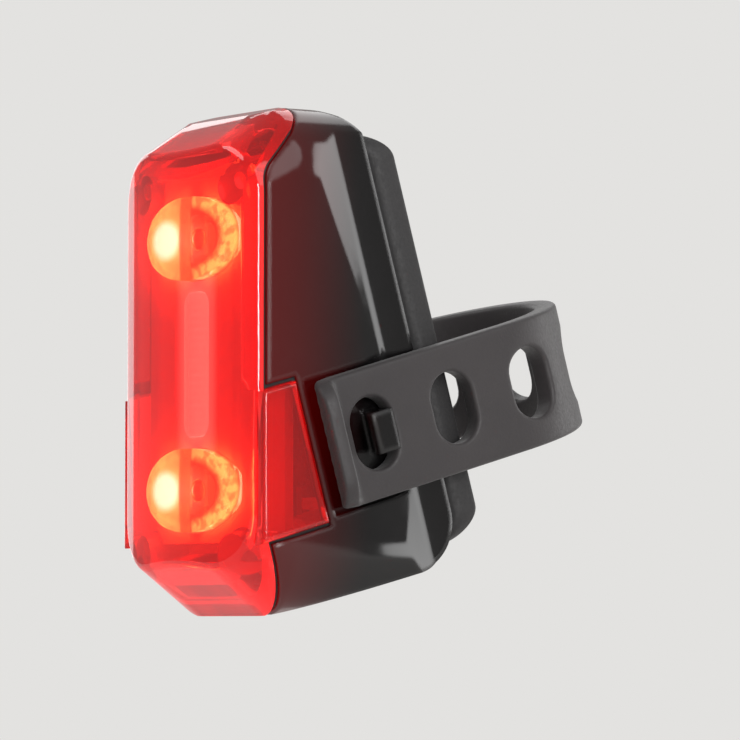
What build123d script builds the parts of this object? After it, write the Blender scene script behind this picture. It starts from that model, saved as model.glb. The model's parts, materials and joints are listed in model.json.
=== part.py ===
# Rear light for a bicycle, held on the seat post by a rubber strap.
#
# Frame: +Z is up with the light in use, -Y is the way the beam leaves (the rear of the bicycle),
# and +X is the side with the strap's hook. The origin lies on the seat post's axis, in the middle
# of the strap's width. The post leans back by seat_lean. What hugs the post is drawn in the post's
# own frame, where the post stands along Z and the strap lies flat, and is then leaned. There, a
# reach is a distance from the post's axis towards the light, which is -Y.
# All lengths are in millimetres and all angles in degrees.

import os
from functools import cache
from math import cos, degrees, pi, radians, sin, sqrt

from build123d import *

# Seat post
seat_lean = 16.0
post_diameter = 27.2

# Running room and overruns
seat_gap = 0.1
part_gap = 0.3
screw_gap = 0.05
overrun = 5.0

# Body, seen from behind the bicycle. Its width follows the post's
flank_margin = 1.4
body_top = 33.0
body_drop = 27.6
body_corner_radius = 9.0
flare_depth = 8.0
face_side_taper = 0.7
face_top_taper = 5.5
face_drop_taper = 6.1
face_corner_radius = 7.5
face_bulge = 2.0
face_edge_radius = 1.2

# Body, in the post's frame
cheek_setback = 8.5
waist_wrap = 0.8
waist_inset = 0.8
wing_wrap = 4.6
crown_rise = 6.5
heel_rise = 9.6
back_corner_radius = 6.0

# Lens cover, seal and housing walls
face_depth = 7.2
seam_depth = 3.2
seam_top_inset = 8.5
seam_drop_inset = 10.6
wrap_top_depth = 11.0
wrap_drop_depth = 8.1
seam_corner_radius = 4.0
lens_wall = 2.0
housing_wall = 1.8
heel_wall = 2.6
floor_wall = 1.9
seal_thickness = 0.5
seal_inset = 0.4
seal_width = 1.0
lip_reach = 1.5
lip_width = 1.1
ear_wall = 0.8
ear_margin = 0.4
ear_rise = 0.8
ear_edge_radius = 0.7
ear_setback = 0.8

# Case screws, which run square to the post from under the pad
case_screw_inset = 5.7
case_screw_top_inset = 7.5
case_screw_drop_inset = 8.5
case_screw_diameter = 2.0
case_screw_length = 10.0
case_head_diameter = 3.6
case_head_height = 1.3
case_head_sink = 0.2
driver_slot_width = 0.5
driver_slot_depth = 0.6
boss_diameter = 4.4

# Pad between the housing and the post
pad_thickness = 2.1
pad_half_angle = 65.0
pad_top_inset = 5.0
pad_drop_inset = 1.5
pad_corner_radius = 4.0
pad_groove_pitch = 3.8
pad_groove_width = 0.7
pad_groove_depth = 0.4

# Strap
strap_width = 15.5
strap_thickness = 2.6
strap_end_depth = 10.0
strap_end_radius = 3.5
strap_bend_reach = 3.2
strap_hole_length = 6.0
strap_hole_height = 8.7
strap_hole_pitch = 12.0
first_hole_inset = 7.0
pull_lip_height = 2.3
pull_lip_width = 2.6
pull_lip_length = 12.4
pull_lip_radius = 1.0

# Strap's pocket and hook on the housing
pocket_side_gap = 0.45
hook_setback = 2.3
hook_stem_thickness = 1.6
hook_width = 5.0
hook_lip_length = 3.1
hook_lip_thickness = 1.1
hook_edge_radius = 0.3

# Strap's fixed end
clamp_plate_length = 9.0
clamp_plate_width = 11.0
clamp_plate_thickness = 1.0
clamp_plate_radius = 2.5
clamp_plate_chamfer = 0.3
clamp_screw_diameter = 2.5
clamp_screw_length = 5.6
clamp_head_diameter = 4.6
clamp_head_height = 1.3
clamp_head_radius = 0.6
clamp_socket_width = 1.5
clamp_socket_depth = 0.7
clamp_boss_diameter = 6.4
clamp_boss_height = 1.2

# Circuit board and lamps
board_thickness = 1.2
board_side_inset = 3.5
board_top_inset = 2.5
board_drop_inset = 1.5
board_corner_radius = 3.0
lamp_top_inset = 10.1
lamp_drop_inset = 8.9
lamp_base_width = 3.5
lamp_base_height = 0.8
lamp_dome_radius = 1.25

# Reflector frame, optics and light guide
frame_inset = 3.4
frame_top_inset = 1.5
frame_room = 4.0
optic_side_inset = 5.5
optic_height = 10.0
optic_thickness = 2.6
optic_crown = 0.8
optic_groove_width = 2.4
optic_groove_depth = 1.5
optic_foot_width = 7.4
optic_foot_height = 5.6
optic_seat_depth = 1.9
guide_width = 5.2
guide_end_gap = 1.4
guide_proud = 0.6
guide_corner_radius = 1.7
guide_lamp_width = 1.6
guide_lamp_height = 0.7
guide_lamp_margin = 1.1
guide_lamp_count = 3
board_screw_inset = 1.9
board_screw_diameter = 1.6
board_screw_length = 3.6
board_head_diameter = 2.8
board_head_height = 0.8

# Parts on the back of the board
driver_width = 3.2
driver_height = 0.9
driver_chamfer = 0.15
driver_side = 3.4
driver_rise = 19.0
inductor_width = 4.2
inductor_height = 1.8
inductor_corner_radius = 0.8
inductor_side = 3.4
inductor_rise = 12.0
capacitor_length = 1.6
capacitor_width = 0.8
capacitor_side = -3.0
capacitor_rise = 10.5
capacitor_pitch = 2.2
capacitor_count = 5
plug_width = 5.0
plug_height = 4.0
plug_depth = 3.4
plug_chamfer = 0.4
plug_side = -3.4
plug_top_inset = 3.6

# Battery, in the post's frame, and its leads
cell_pad_thickness = 0.5
cell_thickness = 5.4
cell_wall_gap = 0.8
cell_switch_gap = 1.2
cell_board_gap = 1.35
cell_top_inset = 17.5
cell_bottom_inset = 11.0
cell_corner_radius = 1.2
cell_tab_height = 1.0
cell_tab_inset = 0.4
lead_diameter = 1.0
lead_pitch = 1.4
lead_span = 8.0
lead_rise = 4.4
lead_bend_radius = 2.6
lead_setback = 1.9

# Charging socket on its own small board
socket_standoff = 5.9
socket_width = 8.9
socket_height = 3.2
socket_length = 7.3
socket_wall = 0.3
socket_rise = 3.55
tongue_width = 6.7
tongue_thickness = 0.7
tongue_length = 5.4
socket_board_thickness = 0.8
socket_board_inset = 2.8
socket_board_height = 10.0
pin_width = 0.6
pin_pitch = 2.0
pin_count = 4
pin_strip_height = 2.0
pin_strip_rise = 5.3

# Charging port and its cover, in the post's frame
port_width = 10.0
port_height = 5.0
flap_width = 14.0
flap_length = 8.2
flap_thickness = 1.0
flap_corner_radius = 2.0
flap_plug_width = 9.0
flap_plug_height = 3.2
flap_plug_rise = 1.3
flap_hinge_setback = 4.7
flap_hinge_radius = 0.65
flap_hinge_length = 6.0
flap_pull_width = 4.0
flap_pull_drop = 0.7

# Power button, its switch and the status light, all on the -X side
button_offset = 0.2
button_drop = 9.1
button_length = 12.0
button_width = 5.2
button_proud = 0.7
button_edge_radius = 0.5
button_gap = 0.15
button_flange_margin = 0.7
button_flange_thickness = 0.8
button_stem_diameter = 2.4
button_travel = 0.6
switch_setback = 2.8
switch_length = 6.0
switch_depth = 3.4
switch_height = 3.4
plunger_length = 1.6
plunger_width = 1.4
plunger_height = 1.6
plunger_sink = 0.5
status_top_inset = 5.4
status_diameter = 2.2
status_lamp_width = 1.2
status_lamp_length = 1.6
status_lamp_inset = 3.6

# Counts and quarter turns
hexagon_sides = 6
upright = 90

# Sizes that follow from the driving dimensions: the post, the pad and the strap's section
lean_cosine = cos(radians(seat_lean))
lean_sine = sin(radians(seat_lean))
post_radius = post_diameter / 2
pad_seat_radius = post_radius + pad_thickness + seat_gap
floor_reach = pad_seat_radius + floor_wall
strap_outer = post_radius + strap_thickness
strap_middle = post_radius + strap_thickness / 2

# Widths and heights of the body
body_width = post_diameter + 2 * flank_margin
body_side = body_width / 2
waist_width = post_diameter - 2 * waist_inset
face_width = body_width - 2 * face_side_taper
face_top = body_top - face_top_taper
face_drop = body_drop - face_drop_taper
seam_top = body_top - seam_top_inset
seam_drop = body_drop - seam_drop_inset
crown_height = body_top + crown_rise
heel_drop = body_drop - heel_rise
pad_top = crown_height - pad_top_inset
pad_drop = heel_drop - pad_drop_inset
bulge_radius = ((face_width / 2) ** 2 + face_bulge**2) / (2 * face_bulge)

# Reaches: the cell lies on the floor, the board clears the cell, and the face lies before the board
switch_face = body_side - housing_wall - switch_setback
cell_low = -switch_face + switch_depth + cell_switch_gap
cell_high = waist_width / 2 - housing_wall - cell_wall_gap
cell_bottom = cell_bottom_inset - heel_drop
cell_top = crown_height - cell_top_inset
cell_reach = floor_reach + cell_pad_thickness
cell_front = cell_reach + cell_thickness
board_back = -(cell_front * lean_cosine + cell_top * lean_sine + cell_board_gap)
board_front = board_back - board_thickness
front_reach = face_depth - board_front
trunk_front = flare_depth - front_reach
far_reach = front_reach + overrun
seam_reach = front_reach - seam_depth
wrap_top_reach = front_reach - wrap_top_depth
wrap_drop_reach = front_reach - wrap_drop_depth
waist_reach = pad_seat_radius - waist_wrap
wing_reach = pad_seat_radius - wing_wrap

# Strap's ends, pockets and side windows
strap_end_reach = front_reach - strap_end_depth
first_hole_reach = strap_end_reach - first_hole_inset
hook_reach = first_hole_reach - hook_setback
cheek_reach = strap_end_reach - cheek_setback
pocket_floor = post_radius - seat_gap
pocket_wall = pocket_floor - housing_wall
pocket_half = strap_width / 2 + pocket_side_gap
pocket_end = strap_end_reach + part_gap
ear_reach = pocket_end + ear_wall + seal_thickness
ear_half = pocket_half + ear_margin
clamp_plate_face = strap_outer + seat_gap / 2 + clamp_plate_thickness

# Case screws
case_screw_side = body_side - case_screw_inset
case_screw_top = crown_height - case_screw_top_inset
case_screw_drop = heel_drop - case_screw_drop_inset
case_screw_places = [
    (side * case_screw_side, level)
    for side in (-1, 1)
    for level in (case_screw_top, -case_screw_drop)
]
head_rim = case_screw_side - case_head_diameter / 2
head_bearing = sqrt(pad_seat_radius**2 - head_rim**2) + case_head_sink + case_head_height

# Board, optics and light guide
board_width = body_width - 2 * board_side_inset
board_top = face_top - board_top_inset
board_drop = face_drop - board_drop_inset
board_screw_side = board_width / 2 - board_screw_inset
frame_top = face_top - frame_top_inset
frame_drop = (case_screw_drop - board_front * lean_sine) / lean_cosine
frame_depth = face_depth - frame_room
frame_front = board_front - frame_depth
optic_width = body_width - 2 * optic_side_inset
optic_back = frame_front + optic_seat_depth - seat_gap
optic_levels = {
    "optic_upper": face_top - lamp_top_inset,
    "optic_lower": lamp_drop_inset - face_drop,
}
lamp_middle = (optic_levels["optic_upper"] + optic_levels["optic_lower"]) / 2
lamp_spacing = optic_levels["optic_upper"] - optic_levels["optic_lower"]
guide_length = lamp_spacing - optic_height - 2 * guide_end_gap
guide_lamp_pitch = (guide_length - 2 * guide_lamp_margin) / guide_lamp_count

# Places on the back of the board
driver_place = (driver_side, driver_rise - board_drop)
inductor_place = (inductor_side, inductor_rise - board_drop)
capacitor_level = capacitor_rise - board_drop
plug_level = board_top - plug_top_inset
plug_top = plug_level + plug_height / 2
switch_middle = board_back + switch_height / 2
status_level = board_top - status_top_inset
status_lamp_side = board_width / 2 - status_lamp_inset
button_level = status_level - button_drop
button_reach = -switch_middle - button_offset

# Charging socket, which stands over the port in the sloping heel
socket_board_width = 2 * (case_screw_side - socket_board_inset)
socket_reach = -board_back - socket_standoff
port_reach = (socket_reach + heel_drop * lean_sine) / lean_cosine
port_level = -heel_drop * lean_cosine - port_reach * lean_sine
socket_level = port_level + socket_rise
pin_strip_level = socket_level + pin_strip_rise
flap_hinge_reach = port_reach - flap_hinge_setback
flap_lead = flap_hinge_reach + flap_length


def leaned(shape):
    """Carries a shape from the post's frame into the upright frame."""
    return Rot(seat_lean, 0, 0) * shape


def block(x_low, x_high, y_low, y_high, z_low, z_high):
    """A box given by its two corners."""
    middle = Pos((x_low + x_high) / 2, (y_low + y_high) / 2, (z_low + z_high) / 2)
    return middle * Box(x_high - x_low, y_high - y_low, z_high - z_low)


def facing_rear(y, x=0, z=0):
    """A plane square to the beam, where a shape's width runs along X and its height along Z."""
    return Plane(origin=(x, y, z), x_dir=(1, 0, 0), z_dir=(0, -1, 0))


def facing_side(x, y=0, z=0):
    """A plane square to X, where a shape's width runs along Y and its height along Z."""
    return Plane(origin=(x, y, z), x_dir=(0, 1, 0), z_dir=(1, 0, 0))


def rod(start, direction, radius, length):
    """A round bar from a start point along a direction."""
    return extrude(Plane(origin=start, z_dir=direction) * Circle(radius), amount=length)


def solids_of(shape):
    """One part from all the solids of a shape."""
    return Part() + list(shape.solids())


# Body


@cache
def envelope(inset):
    """The body's outer form, moved inwards by inset: a tapered nose with a bulged face, then a trunk."""
    face = facing_rear(-front_reach, 0, (face_top - face_drop) / 2) * RectangleRounded(
        face_width - 2 * inset, face_top + face_drop - 2 * inset, face_corner_radius - inset
    )
    trunk_outline = facing_rear(trunk_front, 0, (body_top - body_drop) / 2) * RectangleRounded(
        body_width - 2 * inset, body_top + body_drop - 2 * inset, body_corner_radius - inset
    )
    nose = loft([trunk_outline, face], ruled=True)
    trunk = extrude(trunk_outline, amount=-front_reach)
    bulge = Pos(0, bulge_radius - front_reach, 0) * Cylinder(
        bulge_radius - inset, 2 * (body_top + body_drop)
    )
    return (nose + trunk) & bulge


@cache
def seam_region(gap):
    """All that lies in front of the seam between lens cover and housing, grown backwards by gap."""
    top_run = (seam_reach - wrap_top_reach) / (body_top - seam_top)
    drop_run = (seam_reach - wrap_drop_reach) / (body_drop - seam_drop)
    high = body_top + overrun
    low = -body_drop - overrun
    outline = FilletPolyline(
        (-far_reach, high),
        (-wrap_top_reach + top_run * overrun, high),
        (-seam_reach, seam_top),
        (-seam_reach, -seam_drop),
        (-wrap_drop_reach + drop_run * overrun, low),
        (-far_reach, low),
        radius=seam_corner_radius,
        close=True,
    )
    wraps = Pos(0, gap, 0) * extrude(facing_side(-body_width) * make_face(outline), amount=2 * body_width)
    ears = leaned(
        block(-body_width, body_width, -far_reach, gap - ear_reach, -ear_half - gap, ear_half + gap)
    )
    return wraps + ears


def plan_prism(side, waist_side, cheek, waist, back):
    """An upright prism in the post's frame whose plan narrows from the cheeks to the waist."""
    outline = Polyline(
        (side, -far_reach),
        (side, -cheek),
        (waist_side, -waist),
        (waist_side, -back),
        (-waist_side, -back),
        (-waist_side, -waist),
        (-side, -cheek),
        (-side, -far_reach),
        close=True,
    )
    return leaned(extrude(make_face(outline), amount=2 * crown_height, both=True))


@cache
def side_prism(inset, bottom_inset, back):
    """The body between its heel and its crown, with the back corners rounded, in the post's frame."""
    radius = back_corner_radius - inset
    outline = FilletPolyline(
        (-far_reach - overrun, crown_height - inset),
        (-back, crown_height - inset),
        (-back, -heel_drop + bottom_inset),
        (-far_reach - overrun, -heel_drop + bottom_inset),
        radius=radius,
        close=True,
    )
    return leaned(extrude(facing_side(-body_width) * make_face(outline), amount=2 * body_width))


def case_screw_rods(radius, start, length):
    """Round bars along the four case screws, from the reach start over a length."""
    bars = [rod((side, -start, level), (0, -1, 0), radius, length) for side, level in case_screw_places]
    return leaned(Part() + bars)


def is_face_edge(edge):
    """True for the outer edge where the bulged face meets the nose's sides."""
    box = edge.bounding_box()
    middle = edge @ (1 / 2)
    from_axis = sqrt(middle.X**2 + (middle.Y - bulge_radius + front_reach) ** 2)
    return abs(from_axis - bulge_radius) < screw_gap and box.max.Y < -seam_reach - screw_gap


def ear_pad(side):
    """The raised side window at the front of the strap's pocket."""
    low, high = sorted((side * (body_side - lens_wall / 2), side * (body_side + ear_rise)))
    pad = leaned(block(low, high, -far_reach, -ear_reach, -ear_half, ear_half))
    pad = pad & block(low, high, -seam_reach - ear_setback, 0, -body_drop, body_top)
    outer = pad.faces().sort_by(Axis.X)[-1 if side > 0 else 0]
    return fillet(outer.edges(), ear_edge_radius)


def face_prism(inset):
    """The face's outline, moved inwards by inset, as a straight bar along the beam."""
    outline = facing_rear(trunk_front, 0, (face_top - face_drop) / 2) * RectangleRounded(
        face_width - 2 * inset, face_top + face_drop - 2 * inset, face_corner_radius - inset
    )
    return extrude(outline, amount=far_reach)


def lens_cover():
    shell = envelope(0) & seam_region(0)
    shell = shell & side_prism(0, 0, 0)
    shell = fillet([e for e in shell.edges() if is_face_edge(e)], face_edge_radius)
    shell += [ear_pad(-1), ear_pad(1)]
    shell -= envelope(lens_wall) & side_prism(lens_wall, lens_wall, 0)
    beside_ears = leaned(
        block(-body_width, body_width, -far_reach, 0,
              -pocket_half - housing_wall - part_gap, pocket_half + housing_wall + part_gap)
    )
    outer = lens_wall - seat_gap
    inner = lens_wall + lip_width
    lip = envelope(outer) & side_prism(outer, heel_wall + seat_gap, floor_reach + seat_gap)
    lip -= envelope(inner) & side_prism(inner, heel_wall + lip_width, 0)
    lip = (lip & (seam_region(lip_reach) - seam_region(-lip_reach))) - beside_ears - face_prism(inner)
    bosses = case_screw_rods(boss_diameter / 2, floor_reach + seat_gap, far_reach)
    bosses = bosses & envelope(lens_wall / 2)
    bores = case_screw_rods(
        case_screw_diameter / 2 + screw_gap, head_bearing, case_screw_length + part_gap
    )
    return shell + lip + bosses - bores


def cavity():
    """The room inside the housing; the walls of the strap's pockets and the clamp's boss stay out of it."""
    room = envelope(housing_wall) & side_prism(housing_wall, heel_wall, floor_reach)
    room = room & plan_prism(
        body_side - housing_wall, waist_width / 2 - housing_wall, cheek_reach, waist_reach, floor_reach
    )
    deep = -pocket_end - housing_wall
    tall = pocket_half + housing_wall
    for side in (-1, 1):
        low, high = sorted((side * pocket_wall, side * body_width))
        room -= leaned(block(low, high, deep, 0, -tall, tall))
    boss_start = (-pocket_wall - seat_gap, -first_hole_reach, 0)
    return room - leaned(
        rod(boss_start, (1, 0, 0), clamp_boss_diameter / 2, clamp_boss_height + seat_gap)
    )


def hook():
    """The hook that the strap's first hole drops over."""
    lip_low = strap_outer + part_gap
    lip_high = lip_low + hook_lip_thickness
    stem = block(
        pocket_floor - housing_wall / 2, lip_high,
        -hook_reach - hook_stem_thickness, -hook_reach, -hook_width / 2, hook_width / 2,
    )
    lip = block(
        lip_low, lip_high, -hook_reach - hook_lip_length, -hook_reach, -hook_width / 2, hook_width / 2
    )
    solid = stem + lip
    outer = solid.faces().sort_by(Axis.X)[-1]
    return leaned(fillet(outer.edges(), hook_edge_radius))


def port_prism(width, height, low, high):
    """A rounded bar through the charging port, square to the heel."""
    outline = Pos(0, -port_reach, low) * SlotOverall(width, height)
    return leaned(extrude(outline, amount=high - low))


def flap_prism(gap, low, high):
    """The outline of the port's cover, widened by gap, between two levels in the post's frame."""
    outline = Pos(0, -flap_hinge_reach - flap_length / 2, low) * RectangleRounded(
        flap_width + 2 * gap, flap_length + 2 * gap, flap_corner_radius
    )
    return leaned(extrude(outline, amount=high - low))


def flap_hinge_rod(radius, length):
    """A round bar along the port cover's hinge, which lies in the heel's surface."""
    return leaned(rod((-length / 2, -flap_hinge_reach, -heel_drop), (1, 0, 0), radius, length))


def button_prism(gap, start, end):
    """The button's outline, widened by gap, between two distances out on the -X side."""
    outline = facing_side(-start, -button_reach, button_level) * SlotOverall(
        button_length + 2 * gap, button_width + 2 * gap, rotation=upright
    )
    return extrude(outline, amount=start - end)


def rear_housing():
    body = envelope(0) & plan_prism(body_side, waist_width / 2, cheek_reach, waist_reach, wing_reach)
    body = body & side_prism(0, 0, wing_reach)
    body -= seam_region(seal_thickness)
    body -= leaned(Cylinder(pad_seat_radius, 2 * (crown_height + far_reach)))
    body -= cavity()
    for side in (-1, 1):
        low, high = sorted((side * pocket_floor, side * body_width))
        body -= leaned(block(low, high, -pocket_end, 0, -pocket_half, pocket_half))
    body += hook()
    body -= port_prism(port_width, port_height, -heel_drop - overrun, -heel_drop + heel_wall + overrun)
    body -= flap_prism(part_gap, -heel_drop - overrun, -heel_drop + flap_thickness + seat_gap)
    body -= flap_hinge_rod(flap_hinge_radius + seat_gap, flap_hinge_length + 2 * part_gap)
    body -= button_prism(button_gap, body_side + overrun, switch_face)
    status_start = (-body_side - overrun, -button_reach, status_level)
    body -= rod(status_start, (1, 0, 0), status_diameter / 2 + screw_gap, overrun + 2 * housing_wall)
    body -= case_screw_rods(case_screw_diameter / 2 + screw_gap, 0, front_reach)
    body -= case_screw_rods(case_head_diameter / 2 + seat_gap, 0, head_bearing)
    clamp_start = (-clamp_plate_face, -first_hole_reach, 0)
    clamp_bore = clamp_screw_length + seat_gap
    return body - leaned(rod(clamp_start, (1, 0, 0), clamp_screw_diameter / 2 + screw_gap, clamp_bore))


def case_seal():
    ring = envelope(seal_inset) & side_prism(seal_inset, seal_inset, 0)
    inner = seal_inset + seal_width
    ring -= envelope(inner) & side_prism(inner, inner, 0)
    return ring & (seam_region(seal_thickness) - seam_region(0))


def case_screws():
    """Four pan-head screws with a straight driver slot."""
    shanks = case_screw_rods(case_screw_diameter / 2, head_bearing, case_screw_length)
    heads = case_screw_rods(case_head_diameter / 2, head_bearing - case_head_height, case_head_height)
    slot_end = head_bearing - case_head_height + driver_slot_depth
    slots = [
        block(side - case_head_diameter, side + case_head_diameter, -slot_end, 0,
              level - driver_slot_width / 2, level + driver_slot_width / 2)
        for side, level in case_screw_places
    ]
    return shanks + heads - leaned(Part() + slots)


# Mount


def mount_pad():
    """A ribbed rubber saddle between the housing's floor and the post."""
    outer = post_radius + pad_thickness
    height = pad_top + pad_drop
    ring = Pos(0, 0, (pad_top - pad_drop) / 2) * (Cylinder(outer, height) - Cylinder(post_radius, height))
    half_width = post_radius * sin(radians(pad_half_angle))
    outline = facing_rear(0, 0, (pad_top - pad_drop) / 2) * RectangleRounded(
        2 * half_width, height, pad_corner_radius
    )
    pad = ring & extrude(outline, amount=far_reach)
    groove_count = int((2 * half_width - pad_corner_radius) / pad_groove_pitch)
    for index in range(groove_count):
        side = (index - (groove_count - 1) / 2) * pad_groove_pitch
        depth = sqrt(post_radius**2 - side**2) + pad_groove_depth
        pad -= block(
            side - pad_groove_width / 2, side + pad_groove_width / 2, -depth, 0,
            -pad_drop + pad_corner_radius, pad_top - pad_corner_radius,
        )
    return leaned(pad)


# Strap, drawn flat in the post's frame


def strap_outline(start, end, end_radius):
    """One straight side of the strap, from the reach start to the reach end, as a flat bar on +X."""
    middle = (start + end) / 2
    flat = facing_side(post_radius, -middle, 0) * Rectangle(end - start, strap_width)
    bar = extrude(flat, amount=strap_thickness)
    if end_radius:
        corners = bar.edges().filter_by(Axis.X).group_by(Axis.Y)[0]
        bar = fillet(corners, end_radius)
    return bar


def strap_hole():
    """A tall oval bar through the strap on +X, at reach zero."""
    slot = SlotOverall(strap_hole_height, strap_hole_length, rotation=upright)
    return extrude(facing_side(post_radius - overrun) * slot, amount=strap_thickness + 2 * overrun)


def strap_tail():
    """The free end, with the hook's hole, a spare hole and a raised lip to pull."""
    tail = strap_outline(strap_bend_reach + part_gap, strap_end_reach, strap_end_radius)
    for reach in (first_hole_reach, first_hole_reach - strap_hole_pitch):
        tail -= Pos(0, -reach, 0) * strap_hole()
    lip_end = strap_end_reach - seat_gap
    lip = block(
        strap_outer - strap_thickness / 2, strap_outer + pull_lip_height,
        -lip_end, -lip_end + pull_lip_width, -pull_lip_length / 2, pull_lip_length / 2,
    )
    tip = lip.faces().sort_by(Axis.X)[-1]
    lip = fillet(tip.edges(), pull_lip_radius)
    corners = strap_outline(0, strap_end_reach - seat_gap, strap_end_radius)
    trim = Pos(pull_lip_height, 0, 0) * corners + corners
    return leaned(tail + (lip & trim))


def strap_wrap():
    """The half ring behind the post, with a short straight run at each end and its row of holes."""
    ring = Cylinder(strap_outer, strap_width) - Cylinder(post_radius, strap_width)
    ring -= block(-body_width, body_width, -body_width, 0, -strap_width, strap_width)
    run = strap_outline(0, strap_bend_reach, 0)
    wrap = ring + run + run.mirror(Plane.YZ)
    reach = first_hole_reach - 2 * strap_hole_pitch
    while -reach < pi * strap_middle - strap_hole_length:
        turn = degrees(-reach / strap_middle)
        wrap -= Rot(0, 0, turn) * strap_hole()
        reach -= strap_hole_pitch
    return leaned(wrap)


def strap_root():
    """The fixed end on the -X side, held by the clamp plate and its screw."""
    root = strap_outline(strap_bend_reach + part_gap, strap_end_reach, strap_end_radius)
    bore = rod((post_radius - overrun, -first_hole_reach, 0), (1, 0, 0),
               clamp_screw_diameter / 2 + screw_gap, strap_thickness + 2 * overrun)
    return leaned((root - bore).mirror(Plane.YZ))


def clamp_plate():
    start = clamp_plate_face - clamp_plate_thickness
    flat = facing_side(start, -first_hole_reach) * RectangleRounded(
        clamp_plate_length, clamp_plate_width, clamp_plate_radius
    )
    plate = extrude(flat, amount=clamp_plate_thickness)
    plate = chamfer(plate.faces().sort_by(Axis.X)[-1].edges(), clamp_plate_chamfer)
    bore = rod((start - overrun, -first_hole_reach, 0), (1, 0, 0),
               clamp_screw_diameter / 2 + screw_gap, clamp_plate_thickness + 2 * overrun)
    return leaned((plate - bore).mirror(Plane.YZ))


def clamp_screw():
    """A button-head screw with a hexagon socket."""
    head_end = clamp_plate_face + clamp_head_height
    start = (clamp_plate_face, -first_hole_reach, 0)
    head = rod(start, (1, 0, 0), clamp_head_diameter / 2, clamp_head_height)
    head = fillet(head.faces().sort_by(Axis.X)[-1].edges(), clamp_head_radius)
    shank = rod(start, (-1, 0, 0), clamp_screw_diameter / 2, clamp_screw_length)
    hexagon = RegularPolygon(clamp_socket_width / 2, hexagon_sides, major_radius=False)
    socket = extrude(facing_side(head_end, -first_hole_reach) * hexagon, amount=-clamp_socket_depth)
    return leaned((head + shank - socket).mirror(Plane.YZ))


# Electronics and optics


def board_screw_rods(radius, start, length):
    bars = [
        rod((side * board_screw_side, start, lamp_middle), (0, -1, 0), radius, length)
        for side in (-1, 1)
    ]
    return Part() + bars


def circuit_board():
    outline = facing_rear(board_back, 0, (board_top - board_drop) / 2) * RectangleRounded(
        board_width, board_top + board_drop, board_corner_radius
    )
    board = extrude(outline, amount=board_thickness)
    board -= case_screw_rods(boss_diameter / 2 + part_gap, floor_reach, far_reach)
    return board - board_screw_rods(board_screw_diameter / 2 + screw_gap, board_back + overrun, 2 * overrun)


def board_screws():
    shanks = board_screw_rods(board_screw_diameter / 2, board_back, board_screw_length)
    heads = board_screw_rods(board_head_diameter / 2, board_back + board_head_height, board_head_height)
    slot_end = board_back + board_head_height
    slots = [
        block(side - board_head_diameter, side + board_head_diameter,
              slot_end - board_head_height / 2, slot_end + overrun,
              lamp_middle - driver_slot_width / 2, lamp_middle + driver_slot_width / 2)
        for side in (-board_screw_side, board_screw_side)
    ]
    return shanks + heads - slots


def optic_prism(width, height, front, back, level):
    outline = facing_rear(back, 0, level) * Ellipse(width / 2, height / 2)
    return extrude(outline, amount=back - front)


def reflector_frame():
    """The pale frame that carries the optics and the light guide in front of the board."""
    frame = envelope(frame_inset) & block(
        -body_width, body_width, frame_front, board_front, -frame_drop, frame_top
    )
    for level in optic_levels.values():
        frame -= optic_prism(
            optic_width + 2 * seat_gap, optic_height + 2 * seat_gap,
            frame_front, frame_front + optic_seat_depth, level,
        )
        frame -= optic_prism(
            optic_foot_width + 2 * seat_gap, optic_foot_height + 2 * seat_gap,
            frame_front, board_front, level,
        )
    frame -= guide_bar(seat_gap, frame_front, board_front)
    frame -= case_screw_rods(boss_diameter / 2 + part_gap, floor_reach, far_reach)
    return frame - board_screw_rods(board_screw_diameter / 2 + screw_gap, board_back, board_screw_length)


def optic(level):
    """An oval lens with a crowned front, a sharp groove down its middle and a foot over its lamp."""
    front = frame_front - optic_thickness + optic_seat_depth
    crown_radius = ((optic_width / 2) ** 2 + optic_crown**2) / (2 * optic_crown)
    disc = optic_prism(optic_width, optic_height, front - optic_crown, optic_back, level)
    disc = disc & (Pos(0, front - optic_crown + crown_radius, level) * Sphere(crown_radius))
    foot_back = board_front - lamp_base_height - seat_gap
    foot = optic_prism(optic_foot_width, optic_foot_height, optic_back - seat_gap, foot_back, level)
    well = Pos(0, board_front - lamp_base_height, level) * Sphere(lamp_dome_radius + seat_gap)
    top = front - optic_crown
    groove_outline = Polyline(
        (-optic_groove_width / 2, top - seat_gap),
        (optic_groove_width / 2, top - seat_gap),
        (0, top + optic_groove_depth),
        close=True,
    )
    groove = Pos(0, 0, level - optic_height) * extrude(make_face(groove_outline), amount=2 * optic_height)
    return disc + foot - well - groove


def lamp(level):
    """One bright lamp: a square base with a clear dome."""
    half = lamp_base_width / 2
    base = block(-half, half, board_front - lamp_base_height, board_front, level - half, level + half)
    dome = Pos(0, board_front - lamp_base_height, level) * Sphere(lamp_dome_radius)
    dome = dome & block(-half, half, board_front - overrun, board_front - lamp_base_height / 2,
                        level - half, level + half)
    return base + dome


def guide_bar(gap, front, back):
    outline = facing_rear(back, 0, lamp_middle) * RectangleRounded(
        guide_width + 2 * gap, guide_length + 2 * gap, guide_corner_radius
    )
    return extrude(outline, amount=back - front)


def light_guide():
    """The upright bar between the optics, rounded across its front."""
    front = frame_front - guide_proud
    back = board_front - guide_lamp_height - seat_gap
    bar = guide_bar(0, front, back)
    round_off = Pos(0, front + guide_width / 2, lamp_middle) * Cylinder(guide_width / 2, guide_length)
    rear_part = block(-guide_width, guide_width, front + guide_width / 2, back,
                      lamp_middle - guide_length, lamp_middle + guide_length)
    return bar & (round_off + rear_part)


def guide_lamps():
    half = guide_lamp_width / 2
    lamps = []
    for index in range(guide_lamp_count):
        level = lamp_middle + (index - (guide_lamp_count - 1) / 2) * guide_lamp_pitch
        lamps.append(
            block(-half, half, board_front - guide_lamp_height, board_front, level - half, level + half)
        )
    return Part() + lamps


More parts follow.
